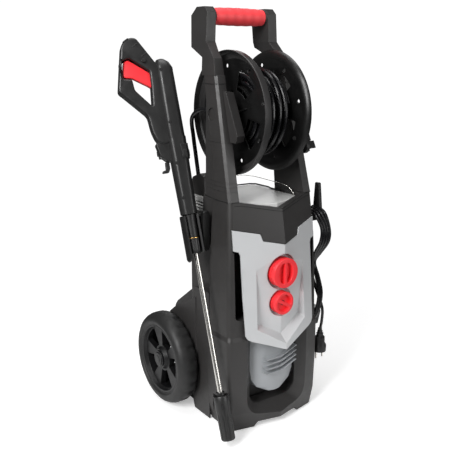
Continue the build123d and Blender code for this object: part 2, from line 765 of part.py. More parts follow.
with BuildPart() as guide_wire:
    with BuildLine() as wire_path:
        Spline(
            (74, -150, DECK_Z + 0.9), (70, -140, 498), (55, -100, 509), (30, -45, 516), (0, -8, 506),
            (-12, 2, DECK_Z + 0.9),
        )
    with BuildSketch(Plane(origin=wire_path.line @ 0, z_dir=wire_path.line % 0)):
        Circle(0.7)
    sweep()
save(guide_wire.part, "guide_wire")

# ------------------------------------------------------------------ base tray, feet and inlet
RAIL_IN = 62
with BuildPart() as base_tray:
    with BuildSketch(Plane.XY.offset(PLATE_Z)):
        closed_face(*both_sides([
            (0, -136), (104, -136), (104, -70), (94, -20), (92, 60), (80, BACK_Y - 5), (0, BACK_Y - 5),
        ]))
    extrude(amount=5)
    # three-sided foot rim: a rail on each side and one across the back
    with BuildSketch(Plane.XY):
        closed_face(
            (-106, -176), (-RAIL_IN, -176), (-RAIL_IN, 60), (RAIL_IN, 60), (RAIL_IN, -176), (106, -176),
            (106, -70), (94, -20), (92, 60), (80, BACK_Y - 5),
            (-80, BACK_Y - 5), (-92, 60), (-94, -20), (-106, -70),
        )
    extrude(amount=PLATE_Z + 1)
    # uprights that carry the wheel axle
    for x in (-90, 82):
        with BuildSketch(Plane.YZ.offset(x)):
            with BuildLine():
                Line((-14, PLATE_Z), (WHEEL_Y - 16, WHEEL_R))
                ThreePointArc((WHEEL_Y - 16, WHEEL_R), (WHEEL_Y, WHEEL_R + 16), (WHEEL_Y + 16, WHEEL_R))
                Line((WHEEL_Y + 16, WHEEL_R), (60, PLATE_Z))
                Line((60, PLATE_Z), (-14, PLATE_Z))
            make_face()
        extrude(amount=8)
    with BuildSketch(Plane.YZ.offset(-100)):
        with Locations((WHEEL_Y, WHEEL_R)):
            Circle(WHEEL_AXLE_R + 0.05)
    extrude(amount=200, mode=Mode.SUBTRACT)
save(base_tray.part, "base_tray")

with BuildPart() as inlet_connector:
    with BuildSketch(Plane.XZ.offset(-12)):
        with Locations(INLET):
            Circle(9)
            Circle(6.5, mode=Mode.SUBTRACT)
    extrude(amount=-(BACK_Y - 12))
    with BuildSketch(Plane.XZ.offset(-BACK_Y)):
        with Locations(INLET):
            RegularPolygon(14.2, 6)
            Circle(6.5, mode=Mode.SUBTRACT)
    extrude(amount=-7)
    with BuildSketch(Plane.XZ.offset(-BACK_Y - 7)):
        with Locations(INLET):
            Circle(13.2)
            Circle(8, mode=Mode.SUBTRACT)
    extrude(amount=-16)
save(inlet_connector.part, "inlet_connector")

# ------------------------------------------------------------------ wheels
def around_axle(x, radius, length, bore=0.0):
    """Disc or ring around the wheel axle, from x along +X, as a private solid."""
    ring = Cylinder(radius, length, align=(Align.CENTER, Align.CENTER, Align.MIN), mode=Mode.PRIVATE)
    if bore:
        ring = ring - Cylinder(bore, length, align=(Align.CENTER, Align.CENTER, Align.MIN), mode=Mode.PRIVATE)
    return Location((x, WHEEL_Y, WHEEL_R), (0, 90, 0)) * ring


with BuildPart() as wheel_axle:
    add(around_axle(-WHEEL_X - WHEEL_W + 4, WHEEL_AXLE_R, 2 * (WHEEL_X + WHEEL_W - 4)))
save(wheel_axle.part, "wheel_axle")

TREAD_IN = WHEEL_X
TREAD_OUT = WHEEL_X + WHEEL_W
with BuildPart() as tyre_right:
    with BuildSketch(Plane.XY):
        with BuildLine():
            Line((TREAD_IN + 3, RIM_R - 1.5), (TREAD_IN + 3, RIM_R + 4))
            Line((TREAD_IN + 3, RIM_R + 4), (TREAD_IN, RIM_R + 7))
            Line((TREAD_IN, RIM_R + 7), (TREAD_IN, 92))
            ThreePointArc((TREAD_IN, 92), (TREAD_IN + 5, 101.5), (TREAD_IN + 15, WHEEL_R - 0.2))
            Line((TREAD_IN + 15, WHEEL_R - 0.2), (TREAD_OUT - 17, WHEEL_R - 0.2))
            ThreePointArc((TREAD_OUT - 17, WHEEL_R - 0.2), (TREAD_OUT - 5, 100), (TREAD_OUT, 88))
            Line((TREAD_OUT, 88), (TREAD_OUT, RIM_R + 2))
            Line((TREAD_OUT, RIM_R + 2), (TREAD_OUT - 4, RIM_R - 1.5))
            Line((TREAD_OUT - 4, RIM_R - 1.5), (TREAD_IN + 3, RIM_R - 1.5))
        make_face()
    revolve(axis=Axis.X)
tyre_right.part.position = (0, WHEEL_Y, WHEEL_R)
save(tyre_right.part, "tyre_right")

SPOKES = 5
with BuildPart() as hub_right:
    with BuildSketch(Plane.XY):
        with BuildLine():
            Polyline(
                (TREAD_IN + 3, RIM_R - 1.6), (TREAD_OUT - 4, RIM_R - 1.6), (TREAD_OUT - 4, RIM_R - 6),
                (TREAD_OUT - 12, RIM_R - 9), (TREAD_OUT - 14, 26), (TREAD_OUT - 6, 22),
                (TREAD_OUT - 6, WHEEL_AXLE_R + RUN), (106, WHEEL_AXLE_R + RUN), (106, 13),
                (TREAD_OUT - 26, 20), (TREAD_OUT - 26, RIM_R - 9), (TREAD_IN + 3, RIM_R - 6), close=True,
            )
        make_face()
    revolve(axis=Axis.X)
    for spoke in range(SPOKES):
        with BuildSketch(Plane.YZ.offset(TREAD_IN)):
            window(30, RIM_R - 10, 18 + spoke * 360 / SPOKES, 44)
        extrude(amount=WHEEL_W, mode=Mode.SUBTRACT)
hub_right.part.position = (0, WHEEL_Y, WHEEL_R)
save(hub_right.part, "hub_right")

with BuildPart() as cap_right:
    add(around_axle(TREAD_OUT - 5.9, 19, 3.2))
    add(around_axle(TREAD_OUT - 2.8, 15.5, 2.4))
    fillet(cap_right.faces().sort_by(Axis.X)[-1].edges(), 1.5)
    add(around_axle(TREAD_OUT - 8, WHEEL_AXLE_R + 0.5, 5), mode=Mode.SUBTRACT)
save(cap_right.part, "cap_right")

for side_name, right_piece in (("tyre", tyre_right), ("hub", hub_right), ("cap", cap_right)):
    with BuildPart() as left_piece:
        add(right_piece.part.mirror(Plane.YZ))
    save(left_piece.part, f"{side_name}_left")


# ------------------------------------------------------------------ knobs on the panel
def knob_body(z, radius, depth):
    """Round knob with a domed rim, seated in the panel, with its stem behind it."""
    with BuildPart() as body:
        with BuildSketch(Plane.XZ.offset(-KNOB_BACK_Y)):
            with Locations((0, z)):
                Circle(radius)
        extrude(amount=depth)
        fillet(body.faces().sort_by(Axis.Y)[0].edges(), 3.5)
        with BuildSketch(Plane.XZ.offset(170)):
            with Locations((0, z)):
                Circle(STEM_R)
        extrude(amount=30)
    return body.part


BIG_DEPTH = 22
SMALL_DEPTH = 19
with BuildPart() as switch_knob:
    add(knob_body(BIG_KNOB_Z, BIG_KNOB_R, BIG_DEPTH))
    # two hollows leave an upright blade between them
    for side in (-1, 1):
        with BuildSketch(Plane.XZ.offset(-KNOB_BACK_Y + BIG_DEPTH - 9)):
            with BuildLine():
                Line((side * 3.5, BIG_KNOB_Z - 22), (side * 3.5, BIG_KNOB_Z + 22))
                ThreePointArc(
                    (side * 3.5, BIG_KNOB_Z + 22), (side * 19, BIG_KNOB_Z), (side * 3.5, BIG_KNOB_Z - 22)
                )
            make_face()
        extrude(amount=20, mode=Mode.SUBTRACT)
save(switch_knob.part, "switch_knob")

with BuildPart() as regulator_knob:
    add(knob_body(SMALL_KNOB_Z, SMALL_KNOB_R, SMALL_DEPTH))
    # two half-moon hollows leave a slanting bar
    hollow_floor = (0, KNOB_BACK_Y - SMALL_DEPTH + 8, SMALL_KNOB_Z)
    slant = Plane(origin=hollow_floor, x_dir=(0.866, 0, -0.5), z_dir=(0, -1, 0))
    for side in (-1, 1):
        with BuildSketch(slant):
            with BuildLine():
                Line((-17.5, side * 4), (17.5, side * 4))
                ThreePointArc((17.5, side * 4), (0, side * 19), (-17.5, side * 4))
            make_face()
        extrude(amount=20, mode=Mode.SUBTRACT)
save(regulator_knob.part, "regulator_knob")

with BuildPart() as switch_box:
    with BuildSketch(Plane.XZ.offset(-BULKHEAD_Y + GAP)):
        with Locations((0, BIG_KNOB_Z)):
            RectangleRounded(52, 44, 4)
    extrude(amount=46)
    with BuildSketch(Plane.XZ.offset(168)):
        with Locations((0, BIG_KNOB_Z)):
            Circle(STEM_R + RUN)
    extrude(amount=40, mode=Mode.SUBTRACT)
save(switch_box.part, "switch_box")

with BuildPart() as regulator_valve:
    with BuildSketch(Plane.XZ.offset(-BULKHEAD_Y + GAP)):
        with Locations((0, SMALL_KNOB_Z)):
            Circle(15)
    extrude(amount=46)
    with BuildSketch(Plane.XZ.offset(168)):
        with Locations((0, SMALL_KNOB_Z)):
            Circle(STEM_R + RUN)
    extrude(amount=40, mode=Mode.SUBTRACT)
save(regulator_valve.part, "regulator_valve")

# ------------------------------------------------------------------ motor and pump
PUMP_LOW = 24
PUMP_TOP = 92
MOTOR_LOW = 118
MOTOR_TOP = 196
SHAFT_R = 7


def upright(z, radius, height, bore=0.0):
    """Disc or ring around the motor's upright shaft, as a private solid."""
    low = (Align.CENTER, Align.CENTER, Align.MIN)
    ring = Cylinder(radius, height, align=low, mode=Mode.PRIVATE)
    if bore:
        ring = ring - Cylinder(bore, height, align=low, mode=Mode.PRIVATE)
    return Pos(0, MOTOR_Y, z) * ring


with BuildPart() as pump_body:
    add(upright(PUMP_LOW, 42, 40))
    add(upright(PUMP_LOW + 40, 46, PUMP_TOP - PUMP_LOW - 40 + 18, 40))
    # four legs stand on the tray
    with BuildSketch(Plane.XY.offset(PLATE_Z + 5.1)):
        with Locations((0, MOTOR_Y)):
            with PolarLocations(32, 4, start_angle=45):
                Circle(7)
    extrude(amount=PUMP_LOW - PLATE_Z - 5)
    # three cylinders for the pistons
    with BuildSketch(Plane.XY.offset(PUMP_LOW + 12)):
        with Locations((0, MOTOR_Y)):
            with PolarLocations(22, 3, start_angle=90):
                Circle(8.1)
    extrude(amount=60, mode=Mode.SUBTRACT)
save(pump_body.part, "pump_body")

with BuildPart() as pump_pistons:
    with BuildSketch(Plane.XY.offset(PUMP_LOW + 20)):
        with Locations((0, MOTOR_Y)):
            with PolarLocations(22, 3, start_angle=90):
                Circle(8)
    extrude(amount=44)
save(pump_pistons.part, "pump_pistons")

with BuildPart() as swash_plate:
    with BuildSketch(Plane.YZ):
        Polygon((MOTOR_Y - 34, 92), (MOTOR_Y + 34, 98), (MOTOR_Y + 34, 108), (MOTOR_Y - 34, 108), align=None)
    extrude(amount=40, both=True)
    add(upright(80, 34, 40), mode=Mode.INTERSECT)
    add(upright(80, SHAFT_R + 0.1, 40), mode=Mode.SUBTRACT)
save(swash_plate.part, "swash_plate")

with BuildPart() as motor_stator:
    add(upright(PUMP_TOP + 18.2, MOTOR_R, MOTOR_TOP - PUMP_TOP - 18.2, 31))
    add(upright(PUMP_TOP + 18.2, MOTOR_R, 5, SHAFT_R + RUN))
    add(upright(MOTOR_TOP - 5, MOTOR_R, 5, SHAFT_R + RUN))
    # cooling fins
    with BuildSketch(Plane.XY.offset(MOTOR_LOW + 6)):
        with Locations((0, MOTOR_Y)):
            with PolarLocations(MOTOR_R + 1, 24):
                Rectangle(6, 2)
    extrude(amount=MOTOR_TOP - MOTOR_LOW - 12)
save(motor_stator.part, "motor_stator")

with BuildPart() as motor_rotor:
    add(upright(MOTOR_LOW + 2, 30, MOTOR_TOP - MOTOR_LOW - 10))
    add(upright(100, SHAFT_R, MOTOR_TOP - 100 + 22))
save(motor_rotor.part, "motor_rotor")

with BuildPart() as motor_fan:
    add(upright(MOTOR_TOP + 4, 14, 12, SHAFT_R + 0.1))
    with BuildSketch(Plane.XY.offset(MOTOR_TOP + 4)):
        with Locations((0, MOTOR_Y)):
            with PolarLocations(27, 9):
                Rectangle(30, 3)
    extrude(amount=12)
    add(upright(MOTOR_TOP + 3, 42, 2.4, SHAFT_R + 0.1))
save(motor_fan.part, "motor_fan")

with BuildPart() as capacitor:
    with BuildSketch(Plane.XY.offset(PLATE_Z + 5.1)):
        with Locations((74, -60)):
            Circle(15)
    extrude(amount=78)
    fillet(capacitor.edges().filter_by(GeomType.CIRCLE), 3)
save(capacitor.part, "capacitor")

# ------------------------------------------------------------------ detergent tank
with BuildPart() as detergent_tank:
    with BuildSketch(Plane.XY.offset(310)):
        with Locations((0, -42)):
            RectangleRounded(120, 84, 14)
    extrude(amount=130)
    fillet(detergent_tank.faces().sort_by(Axis.Z)[-1].edges(), 6)
    with BuildSketch(Plane.XY.offset(313)):
        with Locations((0, -42)):
            RectangleRounded(115, 79, 11.5)
    extrude(amount=124, mode=Mode.SUBTRACT)
    with BuildSketch(Plane.XZ.offset(1)):
        with Locations((0, TANK_Z)):
            Circle(13)
    extrude(amount=-23)
    with BuildSketch(Plane.XZ.offset(10)):
        with Locations((0, TANK_Z)):
            Circle(10.5)
    extrude(amount=-40, mode=Mode.SUBTRACT)
save(detergent_tank.part, "detergent_tank")

with BuildPart() as tank_cap:
    with BuildSketch(Plane.XZ.offset(-15)):
        with Locations((0, TANK_Z)):
            Circle(19)
    extrude(amount=-13)
    fillet(tank_cap.faces().sort_by(Axis.Y)[-1].edges(), 2.5)
    with BuildSketch(Plane.XZ.offset(-14)):
        with Locations((0, TANK_Z)):
            Circle(13 + RUN)
    extrude(amount=-8.2, mode=Mode.SUBTRACT)
    with BuildSketch(Plane.XZ.offset(-14)):
        with Locations((0, TANK_Z)):
            with PolarLocations(19.6, 16):
                Circle(1.6)
    extrude(amount=-14, mode=Mode.SUBTRACT)
save(tank_cap.part, "tank_cap")

# ------------------------------------------------------------------ gun
SHELL_HALF = 14                 # half thickness of the handle
BARREL_HALF = 19
NECK_LOW = -46
TRIGGER_HALF = 7
PIVOT = (24, 272)               # trigger pivot: out from the barrel's axis, up the barrel
LOCK = (40, 318)                # cross bolt of the trigger lock, measured the same way

HANDLE_OUTLINE = (
    (10, 150), (31, 146), (41, 156), (47, 176), (50, 208), (92, 254), (100, 262), (90, 308),
    (80, 352), (72, 362), (60, 368), (47, 366), (14, 309), (10, 300),
)
HANDLE_OPENING = ((31, 296), (68, 327), (83, 322), (86, 287), (68, 284), (66, 262), (37, 226), (33, 262))
TRIGGER_OUTLINE = (
    (18, 262), (34, 264), (37, 268), (67, 287), (84, 289.5), (84, 300), (80, 322), (70, 325), (32, 296),
    (22, 283), (15, 278),
)
TRIGGER_ROOM = (
    (10, 258), (31, 258), (36, 264), (66, 262), (90, 285), (90, 310), (84, 340), (62, 340),
    (20, 300), (10, 288),
)

with BuildSketch(GUN_PLANE) as handle_face:
    Polygon(*HANDLE_OUTLINE, align=None)
    Polygon(*HANDLE_OPENING, align=None, mode=Mode.SUBTRACT)
    fillet(handle_face.vertices(), 3)
handle_slab = extrude(handle_face.sketch, amount=SHELL_HALF, both=True)


def barrel_face(along, out_low, out_high, half):
    """Eight-sided section of the barrel, square to its axis."""
    with BuildSketch(lean_plane(along)) as section:
        cut = 8
        closed_face(
            (out_low + cut, -half), (out_high - cut, -half),
            (out_high, -half + cut), (out_high, half - cut),
            (out_high - cut, half), (out_low + cut, half),
            (out_low, half - cut), (out_low, -half + cut),
        )
    return section.sketch


barrel = loft([barrel_face(0, -17, 17, 17), barrel_face(160, -20, 19, BARREL_HALF)], ruled=True)
barrel_upper = loft(
    [barrel_face(160, -19, 20, BARREL_HALF), barrel_face(300, -18, 18, BARREL_HALF)], ruled=True
)
barrel_cap = loft([barrel_face(300, -18, 18, BARREL_HALF), barrel_face(319, -4, 14, 12)], ruled=True)
neck_plane = lean_plane(NECK_LOW)
with BuildSketch(neck_plane) as neck_face:
    Circle(12)
neck = extrude(neck_face.sketch, amount=-NECK_LOW + 1)

with BuildPart() as gun_shells:
    add(handle_slab)
    add(barrel)
    add(barrel_upper)
    add(barrel_cap)
    add(neck)
    # bore for the valve and the outlet tube
    with BuildSketch(lean_plane(NECK_LOW - 1)):
        Circle(7 + RUN)
    extrude(amount=30, mode=Mode.SUBTRACT)
    with BuildSketch(lean_plane(NECK_LOW + 20)):
        Circle(9.2)
    extrude(amount=236, mode=Mode.SUBTRACT)
    # room for the trigger
    with BuildSketch(GUN_PLANE):
        Polygon(*TRIGGER_ROOM, align=None)
    extrude(amount=TRIGGER_HALF + 1, both=True, mode=Mode.SUBTRACT)
    # hose inlet below the guard
    with BuildSketch(lean_plane(118)):
        with Locations((34, 0)):
            Circle(7.1)
    extrude(amount=62, mode=Mode.SUBTRACT)
    # cross bolt of the trigger lock
    with BuildSketch(GUN_PLANE.offset(-40)):
        with Locations(LOCK):
            Circle(4.1)
    extrude(amount=80, mode=Mode.SUBTRACT)
    # screw recesses along the right side
    with BuildSketch(GUN_PLANE.offset(6 - BARREL_HALF)):
        with Locations((11, 292), (12, 190), (12, 106), (10, 35)):
            Circle(2.4)
    extrude(amount=-20, mode=Mode.SUBTRACT)

left_space = GUN_PLANE.offset(0.05).location * Box(
    900, 900, 60, align=(Align.CENTER, Align.CENTER, Align.MIN), mode=Mode.PRIVATE
)
right_space = GUN_PLANE.offset(-0.05).location * Box(
    900, 900, 60, align=(Align.CENTER, Align.CENTER, Align.MAX), mode=Mode.PRIVATE
)
with BuildPart() as gun_shell_left:
    add(gun_shells.part & left_space)
save(gun_shell_left.part, "gun_shell_left")

with BuildPart() as gun_shell_right:
    add(gun_shells.part & right_space)
save(gun_shell_right.part, "gun_shell_right")

with BuildPart() as gun_valve:
    with BuildSketch(lean_plane(-24)):
        Circle(6)
        Circle(3, mode=Mode.SUBTRACT)
    extrude(amount=80)
    with BuildSketch(lean_plane(56)):
        Circle(9)
        Circle(3, mode=Mode.SUBTRACT)
    extrude(amount=150)
save(gun_valve.part, "gun_valve")

with BuildPart() as gun_inlet:
    with BuildSketch(lean_plane(120)):
        with Locations((34, 0)):
            Circle(7)
            Circle(3.5, mode=Mode.SUBTRACT)
    extrude(amount=58)
    with BuildSketch(lean_plane(126)):
        with Locations((34, 0)):
            RegularPolygon(9.5, 6)
            Circle(6, mode=Mode.SUBTRACT)
    extrude(amount=10)
save(gun_inlet.part, "gun_inlet")

with BuildPart() as gun_trigger:
    with BuildSketch(GUN_PLANE) as trigger_face:
        Polygon(*TRIGGER_OUTLINE, align=None)
        fillet(trigger_face.vertices(), 2)
    extrude(amount=TRIGGER_HALF, both=True)
    with BuildSketch(GUN_PLANE.offset(-TRIGGER_HALF)):
        with Locations(PIVOT):
            Circle(5)
    extrude(amount=2 * TRIGGER_HALF)
save(gun_trigger.part, "gun_trigger")

with BuildPart() as trigger_lock:
    with BuildSketch(GUN_PLANE.offset(-SHELL_HALF - 5)):
        with Locations(LOCK):
            Circle(4)
    extrude(amount=2 * SHELL_HALF + 6)
save(trigger_lock.part, "trigger_lock")

# ------------------------------------------------------------------ lance
with BuildPart() as lance_socket:
    with BuildSketch(lean_plane(-78)):
        Circle(11.5)
        Circle(TUBE_R + 0.05, mode=Mode.SUBTRACT)
    extrude(amount=31.4)
    with BuildSketch(lean_plane(-48)):
        Circle(7)
        Circle(TUBE_R + 0.05, mode=Mode.SUBTRACT)
    extrude(amount=20)
    with BuildSketch(lean_plane(-80)):
        with PolarLocations(12, 10):
            Circle(1.4)
    extrude(amount=26, mode=Mode.SUBTRACT)
save(lance_socket.part, "lance_socket")

TUBE_LOW = -372
with BuildPart() as lance_tube:
    with BuildSketch(lean_plane(TUBE_LOW)):
        Circle(TUBE_R)
        Circle(TUBE_R - 1.5, mode=Mode.SUBTRACT)
    extrude(amount=-TUBE_LOW - 30)
save(lance_tube.part, "lance_tube")

NOZZLE_LOW = -462
with BuildPart() as nozzle_body:
    with BuildSketch(lean_plane(NOZZLE_LOW + 12)):
        Circle(9)
    extrude(amount=TUBE_LOW - NOZZLE_LOW - 4)
    with BuildSketch(lean_plane(TUBE_LOW - 0.1)):
        Circle(TUBE_R + 0.05)
    extrude(amount=20, mode=Mode.SUBTRACT)
save(nozzle_body.part, "nozzle_body")

SLEEVE_BORE = 9 + RUN
SLEEVE_GRIP_TOP = NOZZLE_LOW + 52
SLEEVE_RING_LOW = -380
with BuildPart() as nozzle_sleeve:
    # lower half, with grooves for the fingers
    with BuildSketch(lean_plane(NOZZLE_LOW)):
        Circle(14.5)
        with PolarLocations(16, 12):
            Circle(2.4, mode=Mode.SUBTRACT)
        Circle(SLEEVE_BORE, mode=Mode.SUBTRACT)
    extrude(amount=SLEEVE_GRIP_TOP - NOZZLE_LOW)
    with BuildSketch(lean_plane(SLEEVE_GRIP_TOP)):
        Circle(15)
        Circle(SLEEVE_BORE, mode=Mode.SUBTRACT)
    extrude(amount=SLEEVE_RING_LOW - SLEEVE_GRIP_TOP)
    with BuildSketch(lean_plane(SLEEVE_RING_LOW)):
        Circle(16)
        Circle(SLEEVE_BORE, mode=Mode.SUBTRACT)
    extrude(amount=10)
save(nozzle_sleeve.part, "nozzle_sleeve")

# ------------------------------------------------------------------ gun holster on the left side
CRADLE_R = 15.5
with BuildPart() as gun_holster:
    with BuildSketch(lean_plane(-78)):
        Circle(CRADLE_R + 4.5)
    extrude(amount=77.5)
    # foot on the casing's side, in two steps because the casing widens under the column
    with BuildSketch(Plane.YZ.offset(-134)):
        Polygon((-108, 392), (-72, 380), (-50, 452), (-88, 456), align=None)
    extrude(amount=134 - 106.5)
    with BuildSketch(Plane.YZ.offset(-106.6)):
        Polygon((-106, 394), (-74, 384), (-62, 426), (-96, 426), align=None)
    extrude(amount=106.6 - REAR_HALF - 0.2)
    with BuildSketch(lean_plane(-90)):
        Circle(CRADLE_R)
    extrude(amount=110, mode=Mode.SUBTRACT)
    # mouth towards the front
    mouth = Plane(origin=GUN_FOOT - GUN_UP * 90, x_dir=(1, 0, 0), z_dir=GUN_UP)
    with BuildSketch(mouth):
        with Locations((0, -20)):
            Rectangle(26, 30)
    extrude(amount=110, mode=Mode.SUBTRACT)
save(gun_holster.part, "gun_holster")

# ------------------------------------------------------------------ cable hooks, cord and plug
HOOK_Y = 140
HOOK_W = 22
HOOK_ARM = 12


def cable_hook(wall_x, arm_z, tip_z, tip_x):
    """Hook that stands out from the right side wall, then turns up or down to a narrower tip."""
    sign = 1 if tip_z > arm_z else -1
    middle_y = -HOOK_Y - HOOK_W / 2
    with BuildPart() as hook:
        with BuildSketch(Plane.XZ.offset(HOOK_Y)):
            closed_face(
                (wall_x, arm_z),
                (tip_x + 8, arm_z),
                (tip_x + 11, arm_z + sign * HOOK_ARM),
                (wall_x, arm_z + sign * HOOK_ARM),
            )
        extrude(amount=HOOK_W)
        with BuildSketch(Plane.XY.offset(arm_z + sign * HOOK_ARM)):
            with Locations((tip_x + 6.5, middle_y)):
                Rectangle(9, HOOK_W)
        with BuildSketch(Plane.XY.offset(tip_z)):
            with Locations((tip_x + 5, middle_y)):
                Rectangle(7, HOOK_W - 11)
        loft()
        tip = hook.faces().sort_by(Axis.Z)[-1 if sign > 0 else 0]
        fillet(tip.edges(), 2.5)
    return hook.part


with BuildPart() as cable_hook_upper:
    add(cable_hook(112.6, 424, 505, 136))
save(cable_hook_upper.part, "cable_hook_upper")

with BuildPart() as cable_hook_lower:
    add(cable_hook(122.2, 220, 176, 141))
save(cable_hook_lower.part, "cable_hook_lower")

CORD_R = 6
CORD_X = 131
CORD_TOP = 450
CORD_LOW = 194
with BuildPart() as power_cord:
    # the coiled cord, as one tall loop around both hooks
    with BuildSketch(Plane.YZ.offset(CORD_X - CORD_R)):
        with Locations((-HOOK_Y - HOOK_W / 2, (CORD_TOP + CORD_LOW) / 2)):
            SlotOverall(CORD_TOP - CORD_LOW + 2 * CORD_R, 52, rotation=90)
            SlotOverall(CORD_TOP - CORD_LOW - 2 * CORD_R, 28, rotation=90, mode=Mode.SUBTRACT)
    extrude(amount=2 * CORD_R)
    fillet(power_cord.edges(), 4)
    # free end that hangs down to the plug
    tail_low = Vector(143, -172, 171.6)
    tail_top = Vector(CORD_X, -171, 250)
    with BuildSketch(Plane(origin=tail_low, z_dir=tail_top - tail_low)):
        Circle(3.6)
    extrude(amount=(tail_top - tail_low).length)
save(power_cord.part, "power_cord")

PLUG_X = 143
PLUG_Y = -172
with BuildPart() as power_plug:
    with BuildSketch(Plane.XY.offset(170)):
        with Locations((PLUG_X, PLUG_Y)):
            Circle(7)
    with BuildSketch(Plane.XY.offset(146)):
        with Locations((PLUG_X, PLUG_Y)):
            Circle(15)
    loft()
    with BuildSketch(Plane.XY.offset(134)):
        with Locations((PLUG_X, PLUG_Y)):
            Circle(17)
    extrude(amount=12)
    with BuildSketch(Plane.XY.offset(115)):
        with Locations((PLUG_X - 9.5, PLUG_Y), (PLUG_X + 9.5, PLUG_Y)):
            Circle(2.4)
    extrude(amount=20)
save(power_plug.part, "power_plug")

# ------------------------------------------------------------------ screws in the back of the casing
with BuildPart() as housing_screws:
    for x, z, wall_y in SCREW_PLACES:
        with BuildSketch(Plane.XZ.offset(-wall_y - 0.3)):
            with Locations((x, z)):
                Circle(4.5)
        extrude(amount=-2)
        with BuildSketch(Plane.XZ.offset(-wall_y + 12)):
            with Locations((x, z)):
                Circle(2)
        extrude(amount=-13)
save(housing_screws.part, "housing_screws")
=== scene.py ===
"""Looks of the upright pressure washer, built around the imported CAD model.

Lengths in this file are millimetres and are turned into metres when a mesh is made.
Frame: +Z up, the front faces -Y, the gun hangs on the -X side.
"""

import math
import random

import bmesh
import bpy
from mathutils import Matrix, Vector


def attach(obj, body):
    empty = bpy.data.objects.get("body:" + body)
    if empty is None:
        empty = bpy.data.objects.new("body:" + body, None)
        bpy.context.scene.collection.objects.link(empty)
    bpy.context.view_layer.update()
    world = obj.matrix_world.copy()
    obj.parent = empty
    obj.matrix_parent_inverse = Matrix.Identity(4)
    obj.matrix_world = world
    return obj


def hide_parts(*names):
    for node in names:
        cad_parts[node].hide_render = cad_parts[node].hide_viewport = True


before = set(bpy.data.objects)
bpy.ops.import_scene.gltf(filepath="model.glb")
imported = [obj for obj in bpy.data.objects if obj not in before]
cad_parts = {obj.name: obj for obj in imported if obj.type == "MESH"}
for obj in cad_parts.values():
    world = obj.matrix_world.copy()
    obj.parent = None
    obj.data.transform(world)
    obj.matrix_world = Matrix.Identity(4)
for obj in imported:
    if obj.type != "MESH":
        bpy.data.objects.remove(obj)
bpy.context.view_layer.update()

MM = 0.001

# ------------------------------------------------------------------ finishes


def new_tree(name):
    """Empty material with its output node."""
    material = bpy.data.materials.new(name)
    material.use_nodes = True
    tree = material.node_tree
    tree.nodes.clear()
    output = tree.nodes.new("ShaderNodeOutputMaterial")
    return material, tree, output


def noise(tree, coords, scale, detail=3.0):
    """Noise texture in the piece's own coordinates."""
    node = tree.nodes.new("ShaderNodeTexNoise")
    node.inputs["Scale"].default_value = scale
    node.inputs["Detail"].default_value = detail
    tree.links.new(coords.outputs["Object"], node.inputs["Vector"])
    return node


def spread(tree, source, low, high):
    """Map a noise value to a range."""
    node = tree.nodes.new("ShaderNodeMapRange")
    node.inputs["From Min"].default_value = 0.3
    node.inputs["From Max"].default_value = 0.7
    node.inputs["To Min"].default_value = low
    node.inputs["To Max"].default_value = high
    tree.links.new(source.outputs["Fac"], node.inputs["Value"])
    return node


def finish(name, color, rough, metal=0.0, grain=0.06, grain_scale=900.0, mottle=0.08,
           edge=1.0, coat=0.0, glow=0.0):
    """Moulded, painted or metal surface: soft edges, fine grain and slight unevenness."""
    material, tree, output = new_tree(name)
    surface = tree.nodes.new("ShaderNodeBsdfPrincipled")
    coords = tree.nodes.new("ShaderNodeTexCoord")

    shade = spread(tree, noise(tree, coords, 14.0), 1.0 - mottle, 1.0 + mottle)
    tint = tree.nodes.new("ShaderNodeVectorMath")
    tint.operation = "SCALE"
    tint.inputs[0].default_value = color
    tree.links.new(shade.outputs["Result"], tint.inputs["Scale"])
    tree.links.new(tint.outputs["Vector"], surface.inputs["Base Color"])

    gloss = spread(tree, noise(tree, coords, 60.0), rough - 0.05, rough + 0.05)
    tree.links.new(gloss.outputs["Result"], surface.inputs["Roughness"])

    if grain:
        bump = tree.nodes.new("ShaderNodeBump")
        bump.inputs["Strength"].default_value = grain
        bump.inputs["Distance"].default_value = 0.0004
        fine = noise(tree, coords, grain_scale, 2.0)
        tree.links.new(fine.outputs["Fac"], bump.inputs["Height"])
        tree.links.new(bump.outputs["Normal"], surface.inputs["Normal"])
        if edge:
            soft_edge = tree.nodes.new("ShaderNodeBevel")
            soft_edge.samples = 4
            soft_edge.inputs["Radius"].default_value = edge * MM
            tree.links.new(soft_edge.outputs["Normal"], bump.inputs["Normal"])

    surface.inputs["Metallic"].default_value = metal
    surface.inputs["Coat Weight"].default_value = coat
    surface.inputs["Coat Roughness"].default_value = 0.12
    if glow:
        surface.inputs["Subsurface Weight"].default_value = glow
        surface.inputs["Subsurface Radius"].default_value = (0.004, 0.003, 0.003)
    tree.links.new(surface.outputs["BSDF"], output.inputs["Surface"])
    return material


